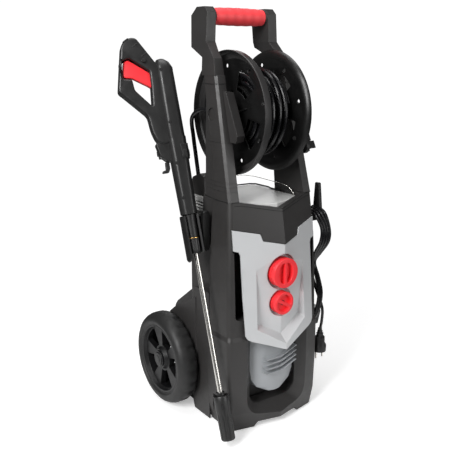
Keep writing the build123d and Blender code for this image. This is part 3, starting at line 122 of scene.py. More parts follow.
FINISH = {
    "casing_black": finish("casing_black", (0.030, 0.0285, 0.028), 0.44, edge=1.6),
    "trim_black": finish("trim_black", (0.007, 0.007, 0.007), 0.42, edge=0.8),
    "reel_black": finish("reel_black", (0.004, 0.004, 0.004), 0.36, edge=1.2),
    # lighter copy of the reel's black: painted light on the left flange's rim
    "reel_rim_painted_light": finish("reel_rim_painted_light", (0.028, 0.027, 0.027), 0.42, edge=1.2),
    "gun_black": finish("gun_black", (0.013, 0.013, 0.013), 0.40, grain=0.10, edge=1.2),
    "panel_silver": finish("panel_silver", (0.63, 0.64, 0.65), 0.36, metal=0.2, grain=0.02, mottle=0.02,
                           edge=2.2, coat=0.25),
    "cover_grey": finish("cover_grey", (0.34, 0.355, 0.37), 0.42, mottle=0.03, edge=1.5),
    "deck_grey": finish("deck_grey", (0.60, 0.60, 0.59), 0.45, mottle=0.03, edge=1.5),
    "tank_white": finish("tank_white", (0.75, 0.75, 0.72), 0.4, mottle=0.03, glow=0.2),
    "red_grip": finish("red_grip", (0.95, 0.065, 0.075), 0.50, grain=0.12, mottle=0.05, edge=1.0),
    "red_plastic": finish("red_plastic", (0.95, 0.035, 0.045), 0.36, grain=0.03, mottle=0.04, edge=0.9),
    "hub_grey": finish("hub_grey", (0.005, 0.005, 0.0055), 0.45, edge=1.4),
    "tyre_rubber": finish("tyre_rubber", (0.014, 0.014, 0.014), 0.52, grain=0.16, grain_scale=500.0),
    "hose_rubber": finish("hose_rubber", (0.005, 0.005, 0.006), 0.26, grain=0.02, edge=0.4),
    "steel": finish("steel", (0.82, 0.80, 0.76), 0.24, metal=1.0, grain=0.0, mottle=0.02),
    "cast_metal": finish("cast_metal", (0.42, 0.42, 0.43), 0.5, metal=0.8, grain=0.2, mottle=0.1),
    "brass": finish("brass", (0.72, 0.45, 0.16), 0.28, metal=1.0, mottle=0.06, edge=0.4),
    # near-black matt finish that paints the shade inside recesses, holes, windows and grooves
    "painted_hollow_shade": finish("painted_hollow_shade", (0.002, 0.002, 0.002), 0.7, grain=0.0),
}

NODE_FINISH = {
    "casing_black": (
        "front_housing", "rear_housing", "column_left", "column_right", "handle_frame",
        "reel_bearing_left", "reel_bearing_right", "hose_guide",
    ),
    "gun_black": (
        "gun_shell_left", "gun_shell_right", "gun_holster", "lance_socket", "nozzle_body",
        "nozzle_sleeve", "trigger_lock", "crank_arm", "crank_grip", "gun_inlet",
    ),
    "reel_black": ("reel_drum", "reel_flange_left", "reel_flange_right"),
    "trim_black": (
        "cable_hook_upper", "cable_hook_lower", "power_plug", "switch_box", "tank_cap", "base_tray",
    ),
    "panel_silver": ("front_panel",),
    "cover_grey": ("motor_cover",),
    "deck_grey": ("top_deck",),
    "tank_white": ("detergent_tank",),
    "red_grip": ("handle_grip",),
    "red_plastic": ("switch_knob", "regulator_knob", "gun_trigger", "motor_fan"),
    "hub_grey": ("hub_left", "hub_right", "cap_left", "cap_right", "capacitor"),
    "tyre_rubber": ("tyre_left", "tyre_right"),
    "hose_rubber": ("hose_coil", "feed_hose", "power_cord"),
    "steel": ("lance_tube", "reel_axle", "wheel_axle", "guide_wire", "motor_rotor", "housing_screws"),
    "cast_metal": ("pump_body", "motor_stator", "swash_plate", "regulator_valve"),
    "brass": ("inlet_connector", "gun_valve", "pump_pistons"),
}


def coat_mesh(mesh, material):
    """Give a mesh one material in all its slots."""
    mesh.materials.clear()
    mesh.materials.append(material)


for finish_name, node_names in NODE_FINISH.items():
    for node_name in node_names:
        coat_mesh(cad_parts[node_name].data, FINISH[finish_name])

# ------------------------------------------------------------------ mesh helpers


def smooth_shading(mesh, sharp_above=32.0):
    """Smooth shading that keeps edges sharper than an angle."""
    mesh.polygons.foreach_set("use_smooth", [True] * len(mesh.polygons))
    mesh.set_sharp_from_angle(angle=math.radians(sharp_above))


def add_piece(name, mesh, finish_name, body, slot_name=None, stands_for=(), sharp_above=32.0):
    """Link a finished mesh as one piece that rides on a CAD body."""
    work = bmesh.new()
    work.from_mesh(mesh)
    bmesh.ops.recalc_face_normals(work, faces=work.faces)
    work.to_mesh(mesh)
    work.free()
    coat_mesh(mesh, FINISH[finish_name])
    smooth_shading(mesh, sharp_above)
    thing = bpy.data.objects.new(name, mesh)
    bpy.context.scene.collection.objects.link(thing)
    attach(thing, body)
    if stands_for:
        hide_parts(*stands_for)
    return thing


def mesh_of(name, points, faces):
    """Mesh from points in millimetres."""
    mesh = bpy.data.meshes.new(name)
    mesh.from_pydata([Vector(p) * MM for p in points], [], faces)
    return mesh


def join_rings(rings, closed_round=True, loop=False, caps=True):
    """Faces between rings of points, each with the same count."""
    count = len(rings[0])
    points = [p for ring in rings for p in ring]
    faces = []
    spans = len(rings) if loop else len(rings) - 1
    steps = count if closed_round else count - 1
    for i in range(spans):
        low = i * count
        high = ((i + 1) % len(rings)) * count
        for j in range(steps):
            k = (j + 1) % count
            faces.append((low + j, low + k, high + k, high + j))
    if caps and not loop:
        faces.append(tuple(reversed(range(count))))
        faces.append(tuple(range((len(rings) - 1) * count, len(rings) * count)))
    return points, faces


def flowing(points, per_span=8, loop=False):
    """Smooth curve through a list of points."""
    points = [Vector(p) for p in points]
    total = len(points)
    result = []
    spans = total if loop else total - 1
    for i in range(spans):
        if loop:
            a, b, c, d = (points[(i + k) % total] for k in (-1, 0, 1, 2))
        else:
            b, c = points[i], points[i + 1]
            a = points[i - 1] if i else b * 2 - c
            d = points[i + 2] if i + 2 < total else c * 2 - b
        for step in range(per_span):
            t = step / per_span
            result.append(0.5 * (
                b * 2 + (c - a) * t + (a * 2 - b * 5 + c * 4 - d) * t ** 2
                + (b * 3 - a - c * 3 + d) * t ** 3
            ))
    if not loop:
        result.append(points[-1])
    return result


def tube_rings(path, radius, sides=12, loop=False):
    """Rings of points around a path, without twist."""
    total = len(path)
    rings = []
    first = (path[1] - path[0]).normalized()
    side = first.orthogonal().normalized()
    for i, point in enumerate(path):
        ahead = path[(i + 1) % total] if loop or i + 1 < total else point
        behind = path[i - 1] if loop or i else point
        forward = (ahead - behind).normalized()
        side = (side - forward * side.dot(forward)).normalized()
        other = forward.cross(side)
        size = radius(i / total) if callable(radius) else radius
        rings.append([
            point + (side * math.cos(a) + other * math.sin(a)) * size
            for a in (2 * math.pi * k / sides for k in range(sides))
        ])
    return rings


def tube(name, path, radius, finish_name, body, sides=12, loop=False, **more):
    """Round tube along a path."""
    rings = tube_rings(path, radius, sides, loop)
    points, faces = join_rings(rings, loop=loop)
    return add_piece(name, mesh_of(name, points, faces), finish_name, body, **more)


def lathe(name, profile, origin, axis, finish_name, body, segments=64, flutes=None, hollow=False, **more):
    """Turned piece. The profile holds (distance along the axis, radius); flutes may change a radius.

    A hollow piece has a profile that closes on itself.
    """
    axis = Vector(axis).normalized()
    side = axis.orthogonal().normalized()
    other = axis.cross(side)
    origin = Vector(origin)
    rings = []
    for along, radius in profile:
        ring = []
        for k in range(segments):
            angle = 2 * math.pi * k / segments
            size = radius + (flutes(along, angle) if flutes else 0.0)
            ring.append(origin + axis * along + (side * math.cos(angle) + other * math.sin(angle)) * size)
        rings.append(ring)
    points, faces = join_rings(rings, loop=hollow)
    return add_piece(name, mesh_of(name, points, faces), finish_name, body, **more)


def rounded(points, radius, steps=4):
    """Flat outline with its corners rounded."""
    points = [Vector(p) for p in points]
    total = len(points)
    result = []
    for i, corner in enumerate(points):
        before = points[i - 1] - corner
        after = points[(i + 1) % total] - corner
        reach = min(radius, before.length * 0.45, after.length * 0.45)
        start = corner + before.normalized() * reach
        end = corner + after.normalized() * reach
        for step in range(steps + 1):
            t = step / steps
            result.append(start * (1 - t) ** 2 + corner * 2 * t * (1 - t) + end * t ** 2)
    return result


def slab_mesh(name, outlines, origin, x_dir, y_dir, half, rounding):
    """Flat plate with holes and rounded rims. The plate's middle lies in the given plane."""
    curve = bpy.data.curves.new(name, "CURVE")
    curve.dimensions = "2D"
    curve.fill_mode = "BOTH"
    curve.extrude = (half - rounding) * MM
    curve.bevel_depth = rounding * MM
    curve.bevel_resolution = 3
    curve.offset = -rounding * MM
    for outline in outlines:
        line = curve.splines.new("POLY")
        line.points.add(len(outline) - 1)
        for spot, point in zip(line.points, outline):
            spot.co = (point[0] * MM, point[1] * MM, 0, 1)
        line.use_cyclic_u = True
    holder = bpy.data.objects.new(name + "_curve", curve)
    bpy.context.scene.collection.objects.link(holder)
    bpy.context.view_layer.update()
    graph = bpy.context.evaluated_depsgraph_get()
    mesh = bpy.data.meshes.new_from_object(holder.evaluated_get(graph))
    bpy.data.objects.remove(holder)
    x_dir = Vector(x_dir).normalized()
    y_dir = Vector(y_dir).normalized()
    z_dir = x_dir.cross(y_dir)
    turn = Matrix((x_dir, y_dir, z_dir)).transposed().to_4x4()
    mesh.transform(Matrix.Translation(Vector(origin) * MM) @ turn)
    work = bmesh.new()
    work.from_mesh(mesh)
    bmesh.ops.remove_doubles(work, verts=work.verts, dist=0.00001)
    work.to_mesh(mesh)
    work.free()
    return mesh


def cut_slot(mesh, slot):
    """Takes the space of one mesh out of another."""
    whole = bpy.data.objects.new("whole", mesh)
    cutter = bpy.data.objects.new("cutter", slot)
    for holder in (whole, cutter):
        bpy.context.scene.collection.objects.link(holder)
    cut = whole.modifiers.new("slot", "BOOLEAN")
    cut.object = cutter
    cut.operation = "DIFFERENCE"
    cut.solver = "EXACT"
    graph = bpy.context.evaluated_depsgraph_get()
    result = bpy.data.meshes.new_from_object(whole.evaluated_get(graph))
    for holder in (whole, cutter):
        bpy.data.objects.remove(holder)
    return result


def slab(name, outlines, origin, x_dir, y_dir, half, rounding, finish_name, body, **more):
    """Rounded plate as a piece."""
    mesh = slab_mesh(name, outlines, origin, x_dir, y_dir, half, rounding)
    return add_piece(name, mesh, finish_name, body, **more)


def circle(radius, centre=(0, 0), count=64):
    """Round outline."""
    return [
        (centre[0] + radius * math.cos(2 * math.pi * k / count),
         centre[1] + radius * math.sin(2 * math.pi * k / count))
        for k in range(count)
    ]


X_AXIS = Vector((1, 0, 0))
Y_AXIS = Vector((0, 1, 0))
Z_AXIS = Vector((0, 0, 1))

# ------------------------------------------------------------------ hose on the reel
REEL = Vector((0, -96.8, 658.9))
HOSE_R = 4.5


def winding(turns, radius, x_start, x_end, wobble, seed):
    """Path of one layer of hose, laid from one side of the drum to the other."""
    chance = random.Random(seed)
    phases = [chance.uniform(0, 6.28) for _ in range(3)]
    steps = int(turns * 40)
    path = []
    for i in range(steps + 1):
        part = i / steps
        angle = 2 * math.pi * turns * part + phases[0]
        size = radius + wobble * math.sin(angle * 0.37 + phases[1])
        x = x_start + (x_end - x_start) * part + wobble * math.sin(angle * 0.61 + phases[2])
        path.append(REEL + Vector((x, size * math.cos(angle), size * math.sin(angle))))
    return path


LAYERS = (
    ("hose_layer_1", 7.6, 60.5, -35, 35, 0.4),
    ("hose_layer_2", 6.8, 69.5, 34, -35, 0.9),
    ("hose_layer_3", 5.2, 78.5, -34, 33, 1.6),
    ("hose_layer_4", 2.6, 86.5, 26, -18, 1.6),
)
for number, (name, turns, radius, x_start, x_end, wobble) in enumerate(LAYERS):
    tube(name, winding(turns, radius, x_start, x_end, wobble, 11 + number), HOSE_R, "hose_rubber", "reel",
         sides=10, stands_for=("hose_coil",))

# ------------------------------------------------------------------ reel flanges
REEL_R = 125


def sector(start, sweep, inner, outer, count=10):
    """Ring-sector outline of one window."""
    angles = [math.radians(start + sweep * k / count) for k in range(count + 1)]
    return (
        [(outer * math.cos(a), outer * math.sin(a)) for a in angles]
        + [(inner * math.cos(a), inner * math.sin(a)) for a in reversed(angles)]
    )


FLANGE_HOLES = [rounded(sector(100 + 90 * k, 42, 46, 88), 4, 3) for k in range(4)]
FLANGE_HOLES += [
    circle(4, (97 * math.cos(math.radians(75 + 45 * k)), 97 * math.sin(math.radians(75 + 45 * k))), 20)
    for k in range(8)
]


def flange_skin(side_name, sign, disc_x, rim):
    """Dished flange: a plate with windows, and a turned rim around it."""
    spot = REEL + Vector((sign * (disc_x + 1.35), 0, 0))
    outlines = [circle(REEL_R - 13, count=120)] + FLANGE_HOLES
    slab(f"flange_plate_{side_name}", outlines, spot, Y_AXIS, Z_AXIS, 1.3, 0.5, "reel_black", "reel",
         stands_for=(f"reel_flange_{side_name}",), slot_name="casing_black")
    profile = [(sign * x, radius) for x, radius in rim]
    # the left rim gets the lighter copy of the reel's black as painted light, the right rim stays dark
    rim_finish = "reel_rim_painted_light" if sign < 0 else "reel_black"
    lathe(f"flange_rim_{side_name}", profile, REEL, X_AXIS, rim_finish, "reel", segments=144, hollow=True,
          slot_name="casing_black")
    for k in range(4):
        angle = math.radians(76 + 90 * k)
        along = Vector((0, math.cos(angle), math.sin(angle)))
        across = Vector((0, -math.sin(angle), math.cos(angle)))
        outline = rounded([(14, -1.6), (46, -1.6), (46, 1.6), (14, 1.6)], 1)
        rib_spot = REEL + Vector((sign * (disc_x + 4.4), 0, 0))
        slab(f"flange_rib_{side_name}_{k}", [outline], rib_spot, along, across, 2.2, 0.7,
             "reel_black", "reel", slot_name="casing_black")
    hub = [(sign * x, radius) for x, radius in FLANGE_HUB]
    lathe(f"flange_hub_{side_name}", hub, REEL, X_AXIS, "reel_black", "reel", segments=48, hollow=True,
          slot_name="casing_black")


# half sections of the rims and the hub: distance from the reel's middle, radius
DEEP_RIM = (
    (43.2, 108), (43.2, 113), (44.8, 120), (47.5, 123.5), (50, 124.6), (62.2, 125), (63.4, 124.2),
    (63.4, 122.8), (62, 122.2), (51.5, 122), (48.5, 119.5), (46.4, 113), (46.0, 108),
)
SHALLOW_RIM = (
    (43.2, 108), (43.2, 113), (45, 119), (49, 123.6), (51.2, 125), (52.4, 124.4), (52.2, 122.6),
    (48, 118.5), (46.2, 113), (46.0, 108),
)
FLANGE_HUB = ((43.2, 10.2), (43.2, 17), (51.5, 16), (51.5, 10.2))
DISC_X = 43.2
flange_skin("left", -1, DISC_X, DEEP_RIM)
flange_skin("right", 1, DISC_X, SHALLOW_RIM)

# ------------------------------------------------------------------ red hand grip
GRIP_SPOT = (0, -44, 849)
GRIP_HALF = 62.8


def grip_profile():
    """Barrel shape with shallow finger waves."""
    rows = [(-GRIP_HALF, 12.6), (-GRIP_HALF, 15.2), (-GRIP_HALF + 1.0, 16.2)]
    for k in range(1, 48):
        along = -GRIP_HALF + 1.0 + (2 * GRIP_HALF - 2.0) * k / 48
        rise = 1.6 * (1 - (along / GRIP_HALF) ** 2)
        wave = 0.25 * math.cos(along * 0.28)
        rows.append((along, 16.4 + rise + wave))
    return rows + [(GRIP_HALF - 1.0, 16.2), (GRIP_HALF, 15.2), (GRIP_HALF, 12.6)]


lathe("hand_grip", grip_profile(), GRIP_SPOT, X_AXIS, "red_grip", "chassis", stands_for=("handle_grip",))

# ------------------------------------------------------------------ knobs


def lens(side, half_height, inner, outer, count=20):
    """Half-moon outline beside a knob's blade."""
    points = [(side * inner, -half_height), (side * inner, half_height)]
    for k in range(1, count):
        angle = math.pi / 2 - math.pi * k / count
        points.append((side * (inner + (outer - inner) * math.cos(angle)), half_height * math.sin(angle)))
    return points


KNOB_BACK_Y = -195
STEM = ((0, 4.8), (40, 4.8))
STEM_Y = -168


def knob(node, z, radius, depth, hollows, hollow_depth, turn):
    """Round knob: a solid lower disc, and an upper disc with two hollows that leave a bar."""
    name = node + "_skin"
    across = Vector((math.cos(turn), 0, math.sin(turn)))
    up = Vector((-math.sin(turn), 0, math.cos(turn)))
    floor_depth = depth - hollow_depth
    upper_half = (hollow_depth + 3) / 2
    rim = circle(radius, count=72)
    upper_spot = Vector((0, KNOB_BACK_Y - depth + upper_half, z))
    lower_spot = Vector((0, KNOB_BACK_Y - floor_depth / 2, z))
    upper = slab_mesh(name, [rim] + hollows, upper_spot, across, up, upper_half, 1.2)
    lower = slab_mesh(name + "_low", [rim], lower_spot, across, up, floor_depth / 2, 0.5)
    work = bmesh.new()
    work.from_mesh(upper)
    work.from_mesh(lower)
    work.to_mesh(upper)
    work.free()
    add_piece(name, upper, "red_plastic", node, stands_for=(node,))
    lathe(name + "_stem", STEM, Vector((0, STEM_Y, z)), -Y_AXIS, "trim_black", node,
          slot_name="casing_black", segments=24)


knob("switch_knob", 341, 31.5, 22, [lens(side, 22, 3.2, 18) for side in (-1, 1)], 9, 0.0)
knob("regulator_knob", 275, 24.5, 19, [lens(side, 17, 3.6, 18) for side in (-1, 1)], 8, math.radians(60))

# ------------------------------------------------------------------ gun
LEAN = math.radians(17.46)
TURN = math.radians(20)
GUN_UP = Vector((0, math.sin(LEAN), math.cos(LEAN)))
GUN_OUT = Vector((-math.cos(TURN), math.sin(TURN) * math.cos(LEAN), -math.sin(TURN) * math.sin(LEAN)))
GUN_SIDE = GUN_OUT.cross(GUN_UP)
GUN_FOOT = Vector((-150, -86, 459))


def gun_spot(out, along, side=0.0):
    """Point given by its place on the gun."""
    return GUN_FOOT + GUN_OUT * out + GUN_UP * along + GUN_SIDE * side


HANDLE = (
    (10, 150), (31, 146), (41, 156), (47, 176), (50, 208), (92, 254), (100, 262), (90, 308),
    (80, 352), (72, 362), (60, 368), (47, 366), (14, 309), (10, 300),
)
OPENING = (
    (31, 296), (68, 327), (83, 322), (86, 287), (68, 284), (66, 262), (37, 226), (33, 262),
)
# slot inside the handle, for the trigger at rest and pulled
TRIGGER_ROOM = (
    (8, 258), (31, 258), (36, 264), (66, 262), (85, 284), (85, 310), (77, 338), (60, 338), (20, 300),
    (8, 288),
)
handle_outlines = [rounded(HANDLE, 7), rounded(OPENING, 4)]
handle = slab_mesh("gun_handle", handle_outlines, GUN_FOOT, GUN_OUT, GUN_UP, 14, 4.5)
room = slab_mesh("trigger_room", [TRIGGER_ROOM], GUN_FOOT, GUN_OUT, GUN_UP, 8, 0)
add_piece("gun_handle", cut_slot(handle, room), "gun_black", "gun", slot_name="casing_black",
          stands_for=("gun_shell_left", "gun_shell_right"))


def barrel_ring(along, out_low, out_high, half, cut):
    """Eight-sided section with soft corners."""
    flat = [
        (out_low + cut, -half), (out_high - cut, -half), (out_high, -half + cut), (out_high, half - cut),
        (out_high - cut, half), (out_low + cut, half), (out_low, half - cut), (out_low, -half + cut),
    ]
    return [gun_spot(x, along, y) for x, y in rounded(flat, 3.5, 4)]


BARREL = (
    (0, -14, 14, 14, 6), (1.5, -16.5, 16.5, 16.5, 8), (60, -17.5, 17.5, 17.2, 8),
    (156, -19.5, 18.5, 18.6, 8), (158, -19.5, 18.5, 18.6, 8), (161, -18, 19.5, 18.8, 8),
    (300, -17.5, 18, 18.4, 8), (312, -12, 17, 15.5, 7), (319, -4, 13, 10.5, 5), (320.5, 0, 9, 6, 3),
)
points, faces = join_rings([barrel_ring(*row) for row in BARREL])
add_piece("gun_barrel", mesh_of("gun_barrel", points, faces), "gun_black", "gun", slot_name="casing_black",
          sharp_above=50)
NECK = ((-46, 9.5), (-45.5, 11.5), (-12, 12.4), (1, 13.5))
lathe("gun_neck", NECK, GUN_FOOT, GUN_UP, "gun_black", "gun", slot_name="casing_black", segments=32)

# screw recesses along the side that faces forward, drawn as dark discs of painted shade
SCREW_HOLES = ((9, 296, 18.4), (9, 189, 18.9), (9, 106, 18.1), (8, 35, 17.1))
for number, (out, along, depth) in enumerate(SCREW_HOLES):
    spot = gun_spot(out, along, -depth)
    lathe(f"gun_screw_hole_{number}", [(-1, 3.4), (0.35, 3.4)], spot, -GUN_SIDE, "painted_hollow_shade", "gun",
          slot_name="casing_black", segments=24)

# ribs on the top bar of the handle, across the line from its tip to the barrel
slope = (Vector((14, 309)) - Vector((47, 366))).normalized()
along_bar = GUN_OUT * slope[0] + GUN_UP * slope[1]
across_bar = GUN_OUT * -slope[1] + GUN_UP * slope[0]
GRIP_RIB = rounded([(-1.4, -14), (1.4, -14), (1.4, -1), (-1.4, -1)], 1.2)
for number, (out, along) in enumerate(((62, 366), (45, 355), (30, 334))):
    slab(f"grip_rib_{number}", [GRIP_RIB], gun_spot(out, along), along_bar, -across_bar, 14.5, 0.6,
         "gun_black", "gun", slot_name="casing_black")


def oblong(half_x, half_y, soft):
    """Rectangle around the middle, with rounded corners."""
    return rounded([(-half_x, -half_y), (half_x, -half_y), (half_x, half_y), (-half_x, half_y)], soft)


# lance latch on the inner edge of the barrel, and another on the side that faces forward
slab("gun_latch", [oblong(7, 16, 2)], gun_spot(-18.6, 128, -6), GUN_SIDE, GUN_UP, 1.6, 0.6,
     "trim_black", "gun", slot_name="casing_black")
slab("gun_latch_button", [oblong(5, 7, 2)], gun_spot(-19.6, 124, -6), GUN_SIDE, GUN_UP, 2.0, 0.7,
     "gun_black", "gun", slot_name="casing_black")
slab("gun_side_latch", [rounded([(-6, -15), (5, -15), (5, 15), (-6, 15)], 1.5)], gun_spot(-9, 128, -18.6),
     GUN_OUT, GUN_UP, 0.9, 0.4, "trim_black", "gun", slot_name="casing_black")
slab("gun_side_button", [oblong(4, 6.5, 1.5)], gun_spot(-10, 124, -19.1), GUN_OUT, GUN_UP, 1.1, 0.5,
     "gun_black", "gun", slot_name="casing_black")

# strip that closes the barrel below the guard, with a screw and a clip
GUARD_WEB = ((12, 110), (26, 112), (38, 124), (44, 150), (30, 158), (12, 158))
CLIP = ((22, 112), (30, 112), (31, 96), (38, 95), (39, 90), (26, 90), (22, 98))
slab("gun_guard_web", [rounded(GUARD_WEB, 4)], GUN_FOOT, GUN_OUT, GUN_UP, 11, 2.5,
     "gun_black", "gun", slot_name="casing_black")
slab("gun_clip", [rounded(CLIP, 2)], GUN_FOOT, GUN_OUT, GUN_UP, 5, 1.2,
     "gun_black", "gun", slot_name="casing_black")
# the screw is a dark disc of painted shade for its recess
lathe("guard_screw", [(0, 2.6), (0.4, 2.6)], gun_spot(34, 152, -13.9), -GUN_SIDE, "painted_hollow_shade", "gun",
      slot_name="casing_black", segments=20)

TRIGGER = (
    (20, 264), (34, 265), (38, 268.5), (67, 287.5), (84, 290), (84, 300), (80, 321), (70, 324.5),
    (33, 296), (24, 284),
)
slab("trigger_skin", [rounded(TRIGGER, 3)], GUN_FOOT, GUN_OUT, GUN_UP, 6.8, 2.0,
     "red_plastic", "gun_trigger", stands_for=("gun_trigger",))

# orange ring between gun and lance
RING = ((-48.4, 8), (-48.2, 11.9), (-46.6, 11.9), (-46.4, 8))
lathe("lance_ring", RING, GUN_FOOT, GUN_UP, "brass", "lance", segments=32)

# ------------------------------------------------------------------ lance nozzle
NOZZLE_LOW = -462


def sleeve_flutes(along, angle):
    """Finger grooves in the lower half of the sleeve."""
    if NOZZLE_LOW + 1.5 <= along <= NOZZLE_LOW + 56:
        return -1.9 * max(0.0, math.cos(10 * angle)) ** 2
    return 0.0


SLEEVE = (
    [(NOZZLE_LOW + 6, 9.2), (NOZZLE_LOW, 10.5), (NOZZLE_LOW, 12.5), (NOZZLE_LOW + 2, 14.4)]
    + [(NOZZLE_LOW + 4 + 6 * k, 14.6 + 0.06 * k) for k in range(10)]
    + [(-396, 15.6), (-384, 15.8), (-372, 16), (-370.5, 15.2), (-370.5, 13.4), (-374, 12.8), (-376, 9.4)]
)
lathe("nozzle_sleeve_skin", SLEEVE, GUN_FOOT, GUN_UP, "gun_black", "nozzle_sleeve", segments=120,
      flutes=sleeve_flutes, slot_name="casing_black", stands_for=("nozzle_sleeve",), sharp_above=60)
WINDOW_TAB = ((-1.2, -4), (1.2, -4), (1.2, 2), (-1.2, 2))
# the window is a dark patch of painted shade
slab("sleeve_window", [oblong(3, 6, 2.5)], gun_spot(3, -390, -15.5), GUN_OUT, GUN_UP, 0.5, 0.2,
     "painted_hollow_shade", "nozzle_sleeve", slot_name="casing_black")
slab("sleeve_window_tab", [rounded(WINDOW_TAB, 1)], gun_spot(3.4, -390, -15.9), GUN_OUT, GUN_UP, 0.6, 0.2,
     "gun_black", "nozzle_sleeve", slot_name="casing_black")
COLLAR = ((-375.5, 5.2), (-375.5, 9), (-371.5, 9), (-370.8, 8), (-370.8, 5.2))
lathe("nozzle_collar", COLLAR, GUN_FOOT, GUN_UP, "steel", "lance", segments=32)


def socket_flutes(along, angle):
    """Grooves around the lance socket."""
    return -1.1 * max(0.0, math.cos(9 * angle)) ** 3 if along < -52 else 0.0


SOCKET = (
    (-80, 5.2), (-80, 9.6), (-78.5, 11.2), (-70, 11.6), (-56, 11.6), (-52.2, 11.9), (-49, 11.9),
    (-48.5, 11.2), (-48.5, 5.2),
)
lathe("lance_socket_skin", SOCKET, GUN_FOOT, GUN_UP, "gun_black", "lance", segments=108,
      flutes=socket_flutes, slot_name="casing_black", stands_for=("lance_socket",), sharp_above=50)

# ------------------------------------------------------------------ power cord and plug
HOOK_MIDDLE_Y = -151
CORD_R = 3.3


def cord_loop(number):
    """One turn of the coiled cord around both hooks, pinched at its waist."""
    out = 123.5 + 4.6 * number
    grow = 3.2 * number
    return [
        (out, HOOK_MIDDLE_Y, 441 + grow), (out + 1, -168 - grow, 433 + grow), (out + 4, -182 - grow, 408),
        (out + 3, -181 - grow, 380), (out, -168 - 0.4 * grow, 352), (128 + number, -160, 328),
        (130 + number, -167 - 0.5 * grow, 296), (132 + number, -175 - 0.6 * grow, 262),
        (131 + number, -172 - 0.5 * grow, 226), (128 + number, -163, 204 - grow),
        (126 + number, HOOK_MIDDLE_Y, 199 - grow), (125 + number, -139, 212 - grow),
        (126 + number, -132, 262), (127 + number, -141, 328), (out, -130, 384),
        (out, -126 + 0.5 * grow, 420), (out, -137, 437 + grow),
    ]


for number in range(4):
    stands_for = ("power_cord",) if number == 0 else ()
    tube(f"cord_loop_{number}", flowing(cord_loop(number), 6, loop=True), CORD_R, "hose_rubber", "chassis",
         sides=10, loop=True, stands_for=stands_for)
TAIL = ((131, -150, 300), (134, -166, 262), (139, -180, 226), (141, -179, 196), (143, -172, 168))
tube("cord_tail", flowing(TAIL), CORD_R, "hose_rubber", "chassis", sides=10)


def plug_flutes(along, angle):
    """Flat grip faces on the plug."""
    return -1.6 * abs(math.cos(2 * angle)) if 16 < along < 44 else 0.0


PLUG = (
    (0, 12), (1, 15), (12, 15.6), (16, 15), (22, 13.4), (34, 13), (38, 9), (44, 8), (46, 6), (50, 6),
    (52, 4.6), (56, 4.6), (56.5, 3.4),
)
PLUG_X = 143
PLUG_Y = -172
PIN_OFFSET = 9.5
lathe("plug_skin", PLUG, (PLUG_X, PLUG_Y, 116), Z_AXIS, "trim_black", "chassis", segments=48,
      flutes=plug_flutes, slot_name="casing_black", stands_for=("power_plug",))
for number, x in enumerate((PLUG_X - PIN_OFFSET, PLUG_X + PIN_OFFSET)):
    lathe(f"plug_pin_{number}", [(0, 1.6), (1, 2.3), (19, 2.4)], (x, PLUG_Y, 99), Z_AXIS, "steel", "chassis",
          segments=20)

# ------------------------------------------------------------------ feed hose to the reel
FEED_LINE = (
    (-70, -10, 100), (-78, -16, 200), (-82, -25, 370), (-80, -20, 458), (-79, -16, 505),
    (-67, 13, 552), (-65, 27, 600), (-73, 19, 643), (-73, -20, 663), (-73, -76, 660),
)
tube("feed_hose_skin", flowing(FEED_LINE, 10), HOSE_R, "hose_rubber", "chassis", sides=16,
     stands_for=("feed_hose",))

# ------------------------------------------------------------------ tyres
AXLE = (0, 23.1, 105.2)
TYRE_X = 125
TYRE_WIDTH = 46
CAP_X = 170.7
# edges of the two rows of tread blocks, as parts of the tyre's width
TREAD_START = 0.02
TREAD_MIDDLE = 0.34
TREAD_END = 0.66


def tyre_profile(sign):
    """Rounded cross section of a tyre, from its inner bead to its outer bead."""
    inner = TYRE_X * sign
    width = TYRE_WIDTH * sign
    rows = [
        (0.065, 78), (0.065, 84), (0.0, 88), (0.0, 93), (0.035, 98.5), (0.10, 102.6), (0.20, 104.6),
        (0.34, 105.0), (0.48, 105.0), (0.62, 104.6), (0.76, 102.6), (0.88, 99.2), (0.965, 94),
        (1.0, 88.5), (0.995, 84.5), (0.965, 82.2), (0.93, 81.6), (0.91, 78),
    ]
    return [(inner + width * part, radius) for part, radius in rows]


def tread_blocks(sign):
    """Shallow notches between the tread blocks on both shoulders of a tyre."""
    def notch(along, angle):
        """Change of radius at one place on the tyre."""
        part = (along * sign - TYRE_X) / TYRE_WIDTH
        if part < TREAD_START or part > TREAD_END:
            return 0.0
        outer_row = part > TREAD_MIDDLE
        wave = math.cos(24 * angle + (0.5 * math.pi if outer_row else 0.0))
        return -2.6 * max(0.0, min(1.0, (wave - 0.45) * 5)) * (0.4 if outer_row else 1.0)
    return notch


for side_name, sign in (("left", -1), ("right", 1)):
    lathe(f"tyre_skin_{side_name}", tyre_profile(sign), AXLE, X_AXIS, "tyre_rubber",
          f"wheel_{side_name}", segments=216, flutes=tread_blocks(sign), hollow=True,
          stands_for=(f"tyre_{side_name}",), sharp_above=60)
    # closed dark web behind the windows of the hub, painted shade for their depth
    window_shade_profile = [(sign * 128, 20), (sign * 128, 77), (sign * 129.5, 77), (sign * 129.5, 20)]
    lathe(f"hub_window_shade_{side_name}", window_shade_profile, AXLE, X_AXIS, "painted_hollow_shade", f"wheel_{side_name}",
          hollow=True, slot_name="hub_grey")
    # six-sided mark in the middle of the wheel's cap
    cap_spot = (sign * CAP_X, AXLE[1], AXLE[2])
    slab(f"cap_mark_{side_name}", [rounded(circle(9, count=6), 1.5)], cap_spot, Y_AXIS, Z_AXIS, 0.5, 0.2,
         "trim_black", f"wheel_{side_name}", slot_name="hub_grey")

# ------------------------------------------------------------------ trim on the casing


COLUMN_FOOT_Z = 491
COLUMN_KNEE_Z = 604


